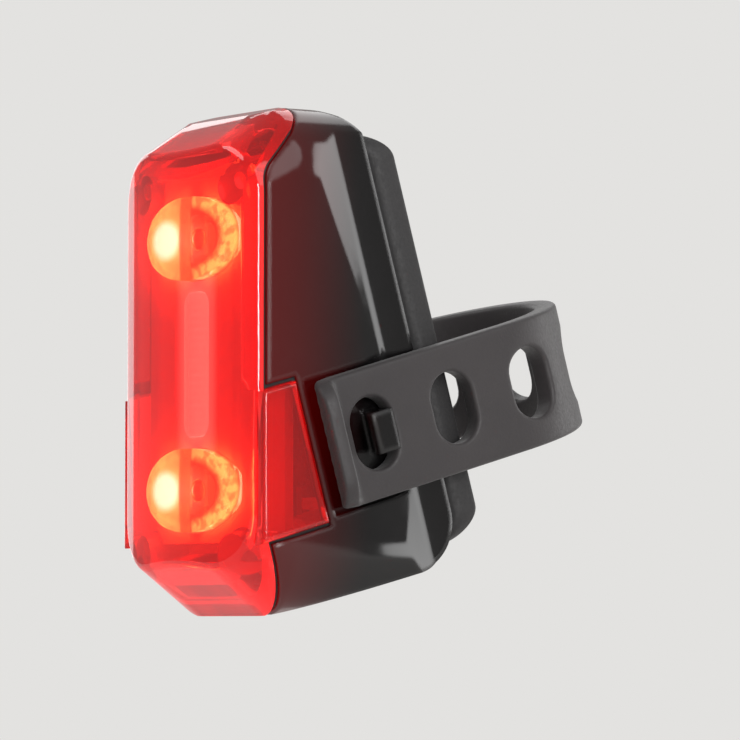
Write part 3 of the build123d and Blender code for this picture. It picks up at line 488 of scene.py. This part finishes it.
def show(name, mesh, node):
    """Adds a mesh as a piece with a node's finish."""
    piece = bpy.data.objects.new(name, mesh)
    bpy.context.scene.collection.objects.link(piece)
    mesh.materials.clear()
    mesh.materials.append(nodes[node].data.materials[0])
    return piece


def merged(node, flat_angle=0.1):
    """A node's mesh with its corners shared and its flat faces whole again."""
    shape = bmesh.new()
    shape.from_mesh(nodes[node].data)
    bmesh.ops.remove_doubles(shape, verts=shape.verts, dist=1e-6)
    bmesh.ops.dissolve_limit(shape, angle_limit=math.radians(flat_angle), verts=shape.verts,
                             edges=shape.edges)
    return shape


def smooth_copy(node, name):
    """Shows a node as a merged copy, smooth but for its sharp edges."""
    mesh = nodes[node].data.copy()
    shape = merged(node)
    for face in shape.faces:
        face.smooth = True
    for edge in shape.edges:
        edge.smooth = edge.calc_face_angle(math.pi) < math.radians(SHELL_CORNER)
    shape.to_mesh(mesh)
    shape.free()
    piece = show(name, mesh, node)
    even = piece.modifiers.new("even_shading", "WEIGHTED_NORMAL")
    even.keep_sharp = True
    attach(piece, body_of(node))
    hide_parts(node)
    return piece


for node in ("lens_cover", "rear_housing", "clamp_plate", "clamp_screw", "case_screws",
             "board_screws", "optic_upper", "optic_lower", "light_guide", "lamp_upper",
             "lamp_lower", "status_window", "charging_socket", "battery_leads",
             "reflector_frame", "inductor"):
    copy = smooth_copy(node, node + "_shell")
    print(copy.name, len(copy.data.polygons), "faces")

# %% [markdown]
# ## Rubber from flat sheets
# A moulded rubber part has soft edges and no sharp corner anywhere. Each one here starts as a
# flat outline with its holes, filled with triangles that keep rings of points near every edge.
# The rings are where the surface rounds over. The sheet is then bent into place point by point,
# which keeps the holes' walls square to the strap all the way round the post.

# %% Outlines
CORNER_STEPS = 6
SAME_POINT = 1e-6


def rounded_distance(points, shape):
    """How far points lie outside a rounded rectangle: x, y, half width, half height, radius."""
    x, y, half_x, half_y, radius = shape
    qx = np.abs(points[:, 0] - x) - (half_x - radius)
    qy = np.abs(points[:, 1] - y) - (half_y - radius)
    outside = np.hypot(np.maximum(qx, 0), np.maximum(qy, 0))
    return outside + np.minimum(np.maximum(qx, qy), 0) - radius


def rounded_loop(shape, grow, step):
    """Points round that rectangle, moved outwards by grow, about a step apart."""
    x, y, half_x, half_y, radius = shape
    turn = max(CORNER_STEPS, round(radius * math.pi / 2 / min(step / 2, radius / 2)))
    centres = [(1, 1), (-1, 1), (-1, -1), (1, -1)]
    loop = []
    for quarter, (side, end) in enumerate(centres):
        corner = (x + side * (half_x - radius), y + end * (half_y - radius))
        for i in range(turn + 1):
            angle = math.pi / 2 * (quarter + i / turn)
            loop.append((corner[0] + (radius + grow) * math.cos(angle),
                         corner[1] + (radius + grow) * math.sin(angle)))
    filled = []
    for start, end in zip(loop, loop[1:] + loop[:1]):
        length = math.dist(start, end)
        if length < SAME_POINT:
            continue
        count = round(length / step) if length > 1.5 * step else 1
        filled += [(start[0] + (end[0] - start[0]) * i / count,
                    start[1] + (end[1] - start[1]) * i / count) for i in range(count)]
    return filled


print("a 10 by 6 mm outline has", len(rounded_loop((0, 0, 5, 3, 1), 0, 1.0)), "points")

# %% From a flat sheet to a rounded, bent solid
ROUNDING_STEPS = (0, 22.5, 45, 67.5, 90)
ROW_SHARE = 0.87  # The height of an even triangle, as a share of its side.
RIM_SHARE, CUT_SHARE = 0.45, 0.6  # Free room beside an outline and beside a cut, in steps.
CUT_END = 1.2  # Free room at a cut's ends, in roundings.
FILL_TOLERANCE = 1e-5
SHEET_CORNER, BAR_CORNER = 60, 50


def tidy(mesh, corner):
    """Merges doubles, turns every face outwards and shades smooth, but for edges past a corner."""
    shape = bmesh.new()
    shape.from_mesh(mesh)
    bmesh.ops.remove_doubles(shape, verts=shape.verts, dist=1e-7)
    bmesh.ops.recalc_face_normals(shape, faces=shape.faces)
    for face in shape.faces:
        face.smooth = True
    for edge in shape.edges:
        edge.smooth = edge.calc_face_angle(0) < math.radians(corner)
    shape.to_mesh(mesh)
    shape.free()
    return mesh


def rubber_sheet(outline, holes, thickness, rounding, place, step=1.0, cut=None, side=0):
    """A closed mesh of a sheet with rounded edges. place(x, y, w) bends points given in mm.

    With a cut, which is an x, only the side before it (-1) or past it (1) is made."""
    rings = [rounding * (1 - math.cos(math.radians(a))) for a in ROUNDING_STEPS]
    points, edges = [], []
    for shape, sign in [(outline, -1)] + [(hole, 1) for hole in holes]:
        for ring in rings:
            loop = rounded_loop(shape, sign * ring, step)
            first = len(points)
            points += loop
            edges += [(first + i, first + (i + 1) % len(loop)) for i in range(len(loop))]
    x, y, half_x, half_y, _ = outline
    columns = int(2 * half_x / step) + 1
    rows = int(2 * half_y / (step * ROW_SHARE)) + 1
    grid = np.array([(x - half_x + (i + 0.5 * (j % 2)) * step, y - half_y + j * step * ROW_SHARE)
                     for i in range(columns) for j in range(rows)])
    if cut is not None:
        count = int(2 * half_y / step)
        spread = np.linspace(y - half_y, y + half_y, 2 * count + 1)
        edge_rings = [y + s * (half_y - r) for s in (-1, 1) for r in rings]
        line = sorted(set(spread[abs(spread - y) < half_y - rounding * CUT_END]) | set(edge_rings))
        first = len(points)
        points += [(cut, v) for v in line]
        edges += [(first + i, first + i + 1) for i in range(len(line) - 1)]
        grid = grid[np.abs(grid[:, 0] - cut) > step * CUT_SHARE]
    room = -rounded_distance(grid, outline)
    for hole in holes:
        room = np.minimum(room, rounded_distance(grid, hole))
    points += [tuple(p) for p in grid[room > rounding + step * RIM_SHARE]]
    flat, _, faces, *_ = geometry.delaunay_2d_cdt([Vector(p) for p in points], edges, [], 0,
                                                  FILL_TOLERANCE)
    flat = np.array([tuple(p) for p in flat])
    faces = np.array(faces)
    middle = flat[faces].mean(axis=1)
    inside = rounded_distance(middle, outline) < 0
    for hole in holes:
        inside &= rounded_distance(middle, hole) > 0
    if cut is not None:
        inside &= (middle[:, 0] - cut) * side > 0
    faces = faces[inside]
    depth = -rounded_distance(flat, outline)
    for hole in holes:
        depth = np.minimum(depth, rounded_distance(flat, hole))
    depth = np.clip(depth, 0, rounding)
    height = thickness / 2 - rounding + np.sqrt(rounding**2 - (rounding - depth) ** 2)
    used = np.unique(faces)
    index = {old: new for new, old in enumerate(used)}
    top = [place(*flat[i], height[i]) for i in used]
    bottom = [place(*flat[i], -height[i]) for i in used]
    count = len(used)
    triangles = [[index[i] for i in face] for face in faces]
    arrows = dict.fromkeys(arrow for a, b, c in triangles for arrow in ((a, b), (b, c), (c, a)))
    walls = [(a, b, b + count, a + count) for a, b in arrows if (b, a) not in arrows]
    mesh = bpy.data.meshes.new("sheet")
    mesh.from_pydata(top + bottom, [], triangles
                     + [[i + count for i in reversed(face)] for face in triangles] + walls)
    return tidy(mesh, SHEET_CORNER)


print("edges round over in", len(ROUNDING_STEPS) - 1, "steps")

# %% [markdown]
# ## The strap
# One band of silicone runs from a plate on the far side, round the post, and back to the hook. Its
# free end curls outwards into a lip to pull. It is drawn flat, 105 mm long, with its row of oval
# holes, and then bent. The cut in the bend never shows. It splits the strap into two halves, each
# made as a mesh of its own and standing in for its part of the strap.

# %% The strap's path
POST = 13.6
STRAP_WIDTH, STRAP_THICK = 15.5, 2.6
STRAP_MIDDLE = POST + STRAP_THICK / 2
TIP_REACH = 28.5
HALF_ROUND = math.pi * STRAP_MIDDLE
CURL_START, CURL_RADIUS, CURL_ANGLE, CURL_TIP = 3.7, 2.6, math.radians(75), 1.3
CURL_THINNING = 0.3
STRAP_LENGTH = 2 * TIP_REACH + HALF_ROUND


def along_strap(s, v, w):
    """Bends a flat point: s along the strap from its free end, v across it, w off the post."""
    if s < CURL_START:
        curled = CURL_START - s
        angle = min(curled / CURL_RADIUS, CURL_ANGLE)
        past = max(curled - CURL_RADIUS * CURL_ANGLE, 0)
        w *= 1 - CURL_THINNING * curled / (CURL_START + CURL_TIP)
        out = CURL_RADIUS * (1 - math.cos(angle)) + past * math.sin(angle)
        on = CURL_RADIUS * math.sin(angle) + past * math.cos(angle)
        reach = TIP_REACH - CURL_START + on
        return leaned(STRAP_MIDDLE + out + w * math.cos(angle), w * math.sin(angle) - reach, v)
    if s < TIP_REACH:
        return leaned(STRAP_MIDDLE + w, s - TIP_REACH, v)
    turn = (s - TIP_REACH) / STRAP_MIDDLE
    if turn < math.pi:
        radius = STRAP_MIDDLE + w
        return leaned(radius * math.cos(turn), radius * math.sin(turn), v)
    return leaned(-STRAP_MIDDLE - w, TIP_REACH + HALF_ROUND - s, v)


print("strap", round(STRAP_LENGTH + CURL_TIP, 1), "mm long when flat")

# %% The strap's two halves
HOLE_COUNT, HOLE_PITCH, FIRST_HOLE = 6, 12.0, 7.0
HOLE_LENGTH, HOLE_HEIGHT, HOLE_CORNER = 6.0, 8.7, 2.99
SCREW_HOLE, SCREW_CORNER = 1.3, 1.29
STRAP_CORNER, STRAP_ROUND, STRAP_CUT = 3.5, 0.55, 49.0
band = ((STRAP_LENGTH - CURL_TIP) / 2, 0, (STRAP_LENGTH + CURL_TIP) / 2, STRAP_WIDTH / 2,
        STRAP_CORNER)
strap_holes = [(FIRST_HOLE + HOLE_PITCH * i, 0, HOLE_LENGTH / 2, HOLE_HEIGHT / 2, HOLE_CORNER)
               for i in range(HOLE_COUNT)]
screw_hole = (STRAP_LENGTH - FIRST_HOLE, 0, SCREW_HOLE, SCREW_HOLE, SCREW_CORNER)
for name, side, node, others in (("strap_free_half", -1, "strap_tail", ()),
                                 ("strap_fixed_half", 1, "strap_wrap", ("strap_root",))):
    mesh = rubber_sheet(band, strap_holes + [screw_hole], STRAP_THICK, STRAP_ROUND,
                        along_strap, cut=STRAP_CUT, side=side)
    mesh.name = name
    half = show(name, mesh, node)
    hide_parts(node, *others)
    print(name, len(mesh.polygons), "faces")
    if side < 0:
        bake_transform(half)
    else:
        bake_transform(half)

# %% [markdown]
# ## The pad on the post
# A ribbed rubber saddle keeps the light from turning on the post. The saddle is a sheet bent to
# the post's round. Its ribs repeat at an even pitch, so they are made by Geometry Nodes: a line of
# points is laid on the arc, a rounded bar goes on each, and it turns to face the post. The tree
# is then baked into a plain mesh, which leans with the post.

# %% The saddle
PAD_OUTER, PAD_FLOOR = POST + 2.1, POST + 0.4
PAD_TOP, PAD_DROP, PAD_HALF = 34.5, 16.5, POST * math.sin(math.radians(65))
PAD_CORNER, PAD_ROUND, PAD_STEP = 4.0, 0.45, 0.9


def on_post(x, z, w):
    """Lays a flat point on the post's front: x across, z up, w off the middle of the sheet."""
    radius = (PAD_OUTER + PAD_FLOOR) / 2 + w
    return leaned(x, -math.sqrt(radius**2 - x**2), z)


saddle_outline = (0, (PAD_TOP - PAD_DROP) / 2, PAD_HALF, (PAD_TOP + PAD_DROP) / 2, PAD_CORNER)
saddle = show("pad_saddle", rubber_sheet(saddle_outline, [], PAD_OUTER - PAD_FLOOR, PAD_ROUND,
                                         on_post, step=PAD_STEP), "mount_pad")
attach(saddle, "light")
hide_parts("mount_pad")
print("saddle", len(saddle.data.polygons), "faces")

# %% The ribs' node tree
SPINE_POINTS, RIB_ROUND, RIB_ROUND_POINTS = 48, 0.4, 4


def arc_of_ribs():
    """A node tree that lays rounded upright bars side by side on an arc."""
    tree = bpy.data.node_groups.new("ribs_on_an_arc", "GeometryNodeTree")
    sockets = tree.interface
    sockets.new_socket("Geometry", in_out="OUTPUT", socket_type="NodeSocketGeometry")
    sockets.new_socket("Ribs", in_out="INPUT", socket_type="NodeSocketInt")
    for name in ("Pitch", "Radius", "Length", "Width", "Height"):
        sockets.new_socket(name, in_out="INPUT", socket_type="NodeSocketFloat")
    sockets.new_socket("Material", in_out="INPUT", socket_type="NodeSocketMaterial")
    given = add(tree, "NodeGroupInput").outputs
    gaps = calc(tree, "SUBTRACT", given["Ribs"], 1.0)
    span = calc(tree, "MULTIPLY", gaps, given["Pitch"])
    start = add(tree, "ShaderNodeCombineXYZ", X=calc(tree, "MULTIPLY", span, -0.5))
    step = add(tree, "ShaderNodeCombineXYZ", X=given["Pitch"])
    line = add(tree, "GeometryNodeMeshLine", Count=given["Ribs"], Start_Location=start.outputs[0],
               Offset=step.outputs[0])
    spot = add(tree, "GeometryNodeInputPosition").outputs[0]
    x = add(tree, "ShaderNodeSeparateXYZ", Vector=spot).outputs["X"]
    angle = calc(tree, "ARCSINE", calc(tree, "DIVIDE", x, given["Radius"]))
    y = calc(tree, "MULTIPLY", calc(tree, "COSINE", angle),
             calc(tree, "MULTIPLY", given["Radius"], -1.0))
    place = add(tree, "ShaderNodeCombineXYZ", X=x, Y=y)
    laid = add(tree, "GeometryNodeSetPosition", Geometry=line.outputs[0],
               Position=place.outputs[0])
    high = add(tree, "ShaderNodeCombineXYZ", Z=calc(tree, "MULTIPLY", given["Length"], 0.5))
    low = add(tree, "ShaderNodeCombineXYZ", Z=calc(tree, "MULTIPLY", given["Length"], -0.5))
    spine = add(tree, "GeometryNodeCurvePrimitiveLine", Start=low.outputs[0], End=high.outputs[0])
    spine = add(tree, "GeometryNodeResampleCurve", Curve=spine.outputs[0], Count=SPINE_POINTS)
    section = add(tree, "GeometryNodeCurvePrimitiveQuadrilateral", Width=given["Width"],
                  Height=given["Height"])
    section = add(tree, "GeometryNodeFilletCurve", {"mode": "POLY"}, Curve=section.outputs[0],
                  Radius=calc(tree, "MULTIPLY", given["Height"], RIB_ROUND),
                  Count=RIB_ROUND_POINTS)
    bar = add(tree, "GeometryNodeCurveToMesh", Curve=spine.outputs[0],
              Profile_Curve=section.outputs[0], Fill_Caps=True)
    turn = add(tree, "ShaderNodeCombineXYZ", Z=angle)
    placed = add(tree, "GeometryNodeInstanceOnPoints", Points=laid.outputs[0],
                 Instance=bar.outputs[0], Rotation=turn.outputs[0])
    real = add(tree, "GeometryNodeRealizeInstances", Geometry=placed.outputs[0])
    done = add(tree, "GeometryNodeSetMaterial", Geometry=real.outputs[0],
               Material=given["Material"])
    add(tree, "NodeGroupOutput", Geometry=done.outputs[0])
    return tree


rib_tree = arc_of_ribs()
print("rib tree", len(rib_tree.nodes), "nodes")


# %% Bake a tree into a plain mesh
def grown(name, tree, **inputs):
    """Runs a node tree with its named inputs on an empty mesh and returns what it made."""
    seed = bpy.data.objects.new(name, bpy.data.meshes.new(name))
    bpy.context.scene.collection.objects.link(seed)
    grow = seed.modifiers.new("grow", "NODES")
    grow.node_group = tree
    for item in tree.interface.items_tree:
        if item.in_out == "INPUT":
            grow[item.identifier] = inputs[item.name]
    made = bpy.data.meshes.new_from_object(
        seed.evaluated_get(bpy.context.evaluated_depsgraph_get()))
    bpy.data.objects.remove(seed)
    return made


ribs = grown("pad_ribs", rib_tree, Ribs=6, Pitch=3.8 * MM, Radius=(POST + 0.3) * MM,
             Length=(PAD_TOP + PAD_DROP - 3) * MM, Width=3.1 * MM, Height=0.6 * MM,
             Material=finishes["pad_rubber"])
middle_z = (PAD_TOP + PAD_DROP) / 2 - PAD_DROP
for vertex in ribs.vertices:
    x, y, z = (c / MM for c in vertex.co)
    vertex.co = leaned(x, y, z + middle_z)
rib_piece = show("pad_ribs", tidy(ribs, BAR_CORNER), "mount_pad")
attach(rib_piece, "light")
print("ribs", len(ribs.polygons), "faces")

# %% [markdown]
# ## Small rubber parts
# The button, the port's cover and the foam under the cell are sheets too, only small ones. The
# first two are joined from a few sheets each, because the real ones thicken where they have to
# seal or to be gripped. The sheets overlap a little inside, which never shows.


# %% Joined sheets
def joined(name, meshes):
    """One mesh from several."""
    whole = bmesh.new()
    for mesh in meshes:
        whole.from_mesh(mesh)
    together = bpy.data.meshes.new(name)
    whole.to_mesh(together)
    whole.free()
    return together


def rubber_piece(name, node, meshes):
    """Shows meshes as one piece that rides with a node and stands in its place."""
    piece = show(name, joined(name, meshes), node)
    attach(piece, body_of(node))
    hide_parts(node)
    print(name, len(piece.data.polygons), "faces")
    return piece


print("the port's cover will ride on", body_of("port_cover"))

# %% [markdown]
# ## Power button
# The cap is dished for a fingertip, with three pips in a row to feel for in the dark. A wider
# flange behind it stays inside the case, and a stub on the flange meets the switch. The dish and
# the pips are sums and products in the function that lays the sheet, so they stay smooth.

# %% Power button
BUTTON_Y, BUTTON_Z, BUTTON_FACE = -28.2, 10.5, 15.7
DISH, DISH_ACROSS, DISH_ALONG = 0.3, 2.1, 5.3
PIP, PIP_SPREAD, PIPS = 0.27, 0.3, (-1.7, 0, 1.7)


def pressed_from(middle):
    """Lays a sheet on the -X side, w out from a middle distance, with the dish and the pips."""
    def place(y, z, w):
        across, along = y - BUTTON_Y, z - BUTTON_Z
        spread = min((across / DISH_ACROSS) ** 2 + (along / DISH_ALONG) ** 2, 1)
        pip = sum(math.exp(-(across**2 + (along - at) ** 2) / PIP_SPREAD) for at in PIPS)
        sink = DISH * (1 - spread) ** 2 - PIP * pip if middle + w > BUTTON_FACE - 1 else 0
        return Vector((-(middle + w - sink), y, z)) * MM
    return place


rubber_piece("power_button_cap", "power_button", [
    rubber_sheet((BUTTON_Y, BUTTON_Z, 2.6, 6.0, 2.59), [], 3.4, 0.6, pressed_from(14.0),
                 step=0.35),
    rubber_sheet((BUTTON_Y, BUTTON_Z, 3.3, 6.7, 3.29), [], 0.8, 0.25, pressed_from(12.7)),
    rubber_sheet((BUTTON_Y - 0.2, BUTTON_Z, 1.2, 1.2, 1.19), [], 1.2, 0.2, pressed_from(12.15)),
])

# %% [markdown]
# ## Port cover
# The cover is a flap with a plug that fills the charging port, a bead that it hinges on and a lip
# for a fingernail. All four lie level in the post's frame, so one short function places them.

# %% Port cover
HEEL, HINGE_REACH, FLAP_LENGTH, PORT_REACH = -18.0, 25.636, 8.2, 30.336


def below_heel(middle):
    """Lays a sheet level in the post's frame, with w down from a middle height."""
    return lambda x, y, w: leaned(x, y, middle - w)


flap_middle = -HINGE_REACH - FLAP_LENGTH / 2
rubber_piece("port_cover_flap", "port_cover", [
    rubber_sheet((0, flap_middle, 7.0, FLAP_LENGTH / 2, 2.0), [], 1.0, 0.3,
                 below_heel(HEEL + 0.5)),
    rubber_sheet((0, -PORT_REACH, 4.5, 1.6, 1.59), [], 1.9, 0.35, below_heel(HEEL + 1.35),
                 step=0.6),
    rubber_sheet((0, -HINGE_REACH, 3.0, 0.65, 0.645), [], 1.3, 0.64, below_heel(HEEL), step=0.4),
    rubber_sheet((0, flap_middle - FLAP_LENGTH / 2 + 0.4, 2.0, 0.4, 0.39), [], 1.2, 0.3,
                 below_heel(HEEL - 0.1), step=0.3),
])

# %% [markdown]
# ## Foam under the cell
# A thin pad of foam keeps the battery from rattling. It is cut flat, so a flat sheet does.

# %% Foam under the cell
FOAM_SHAPE, FOAM_THICK, FOAM_ROUND, FOAM_BACK = (2.2, 7.5, 6.8, 13.3, 1.0), 0.5, 0.2, -17.95
foam = rubber_piece("cell_foam_pad", "battery_pad", [
    rubber_sheet(FOAM_SHAPE, [], FOAM_THICK, FOAM_ROUND,
                 lambda x, z, w: leaned(x, FOAM_BACK - w, z)),
])

# %% [markdown]
# ## Case seal
# A band of silicone closes the joint between the lens and the housing. Its path follows the rim
# in space, which no bent sheet can do, so it starts from the solid itself: the sharp edges get a
# small round. It is also a hair smaller all round, because its face lies exactly in the clear
# lens's face otherwise, and two faces in one place flicker.

# %% Case seal
SEAL_ROUND, SEAL_CLEARANCE = 0.12, 0.02
SEAL_FLAT, SEAL_SHARP = 2.0, 40


def rounded_off(node, radius, clearance):
    """A node's solid, a hair smaller, with a small round on each sharp edge."""
    shape = merged(node, SEAL_FLAT)
    sharp = [edge for edge in shape.edges if edge.calc_face_angle(0) > math.radians(SEAL_SHARP)]
    bmesh.ops.bevel(shape, geom=sharp, offset=radius * MM, offset_type="OFFSET", segments=3,
                    profile=0.5, affect="EDGES")
    shape.normal_update()
    for vertex in shape.verts:
        vertex.co -= vertex.normal * clearance * MM
    mesh = bpy.data.meshes.new(node)
    shape.to_mesh(mesh)
    shape.free()
    return tidy(mesh, BAR_CORNER)


rubber_piece("case_seal_band", "case_seal",
             [rounded_off("case_seal", SEAL_ROUND, SEAL_CLEARANCE)])

# %% [markdown]
# ## Floor and world
# The stage is plain. The floor takes soft shadows near the light and fades into the backdrop
# further out, so no horizon shows. From below it is clear, because the camera looks up a little.
# The world is dimmer as a light than it looks, so that the glow of the lens holds its own.

# %% Floor
BACKDROP, FLOOR_TONE = "e3e2e0", "dad9d7"
FADE_START, FADE_END = 0.05, 0.2
FLOOR_Z, FLOOR_REACH = -0.05, 6.0


def seen_ray(tree):
    """1 for what the camera sees directly or through glass, and 0 for every other ray."""
    path = add(tree, "ShaderNodeLightPath").outputs
    return calc(tree, "MAXIMUM", path["Is Camera Ray"], path["Is Transmission Ray"])


def pale_floor():
    """A pale floor that fades into the backdrop and is clear from below."""
    material, tree, place = new_material("pale_floor")
    surface = add(tree, "ShaderNodeBsdfDiffuse", Color=colour(FLOOR_TONE))
    flat = add(tree, "ShaderNodeEmission", Color=colour(BACKDROP), Strength=1.0)
    from_middle = add(tree, "ShaderNodeVectorMath", {"operation": "LENGTH"}, _0=place)
    share = calc(tree, "MULTIPLY", seen_ray(tree),
                 ramp(tree, from_middle.outputs["Value"], FADE_START, FADE_END, 0.0, 1.0))
    both = add(tree, "ShaderNodeMixShader", _0=share, _1=surface.outputs[0], _2=flat.outputs[0])
    from_below = add(tree, "ShaderNodeNewGeometry").outputs["Backfacing"]
    clear = add(tree, "ShaderNodeBsdfTransparent")
    sheet = add(tree, "ShaderNodeMixShader", _0=from_below, _1=both.outputs[0],
                _2=clear.outputs[0])
    return finish_material(material, tree, sheet)


floor_mesh = bpy.data.meshes.new("floor")
floor_mesh.from_pydata([(x * FLOOR_REACH, y * FLOOR_REACH, FLOOR_Z)
                        for x, y in ((-1, -1), (1, -1), (1, 1), (-1, 1))], [], [(0, 1, 2, 3)])
floor = bpy.data.objects.new("floor", floor_mesh)
bpy.context.scene.collection.objects.link(floor)
floor.data.materials.append(pale_floor())
print("floor at", FLOOR_Z, "m")

# %% World
WORLD_LIGHT = 0.45
world = bpy.data.worlds.new("studio")
bpy.context.scene.world = world
world.use_nodes = True
studio = world.node_tree
studio.nodes.clear()
level = add(studio, "ShaderNodeMapRange", Value=seen_ray(studio), To_Min=WORLD_LIGHT, To_Max=1.0)
backdrop = add(studio, "ShaderNodeBackground", Color=colour(BACKDROP),
               Strength=level.outputs["Result"])
add(studio, "ShaderNodeOutputWorld", Surface=backdrop.outputs[0])
print("world", BACKDROP, "at", WORLD_LIGHT)

# %% [markdown]
# ## Soft lamps
# Three wide suns light the object gently from all round. A glossy black shell shows only what it
# mirrors, so three tall softboxes stand beside it, and its edges draw them as thin bright lines.

# %% Soft lamps
TARGET = Vector((0.0, -0.0105, 0.0025))
SUN_SPREAD = math.radians(40)
BOX_RISE, BOX_DISTANCE, BOX_HEIGHT = 6, 0.7, 0.5


def towards(azimuth, elevation):
    """A direction from the object. Azimuth 0 is where the lens faces, 90 the hook's side."""
    a, e = math.radians(azimuth), math.radians(elevation)
    return Vector((math.sin(a) * math.cos(e), -math.cos(a) * math.cos(e), math.sin(e)))


def lamp(name, kind, direction, power, distance=1.0, **settings):
    """A light that stands off in a direction and shines back on the object."""
    data = bpy.data.lights.new(name, kind)
    data.energy = power
    for key, value in settings.items():
        setattr(data, key, value)
    holder = bpy.data.objects.new(name, data)
    bpy.context.scene.collection.objects.link(holder)
    holder.location = TARGET + direction * distance
    holder.rotation_euler = (-direction).to_track_quat("-Z", "Y").to_euler()


lamp("sky_left", "SUN", towards(-20, 50), 1.1, angle=SUN_SPREAD)
lamp("sky_right", "SUN", towards(110, 40), 0.6, angle=SUN_SPREAD)
lamp("sky_back", "SUN", towards(230, 45), 0.5, angle=SUN_SPREAD)
for azimuth, power, width in ((80, 3.8, 0.13), (172, 1.6, 0.4), (262, 1.0, 0.4)):
    lamp("softbox_%d" % azimuth, "AREA", towards(azimuth, BOX_RISE), power, BOX_DISTANCE,
         shape="RECTANGLE", size=width, size_y=BOX_HEIGHT)
print("lights", len(bpy.data.lights))

# %% [markdown]
# ## Camera
# The photograph was taken from a little below and from well to one side, through a long lens. So
# the camera stands far off for so small an object, with a narrow view, and looks up by 3 degrees.

# %% Camera
AZIMUTH, ELEVATION, DISTANCE, VIEW_ANGLE = 56, -3, 0.6, 8.6
away = towards(AZIMUTH, ELEVATION)
camera_data = bpy.data.cameras.new("camera")
camera_data.sensor_fit = "AUTO"
camera_data.angle = math.radians(VIEW_ANGLE)
camera_data.clip_start, camera_data.clip_end = 0.01, 50.0
camera = bpy.data.objects.new("camera", camera_data)
bpy.context.scene.collection.objects.link(camera)
camera.location = TARGET + away * DISTANCE
camera.rotation_euler = (-away).to_track_quat("-Z", "Y").to_euler()
bpy.context.scene.camera = camera
bpy.context.scene.view_settings.view_transform = "Standard"
print("camera at", [round(c, 3) for c in camera.location])
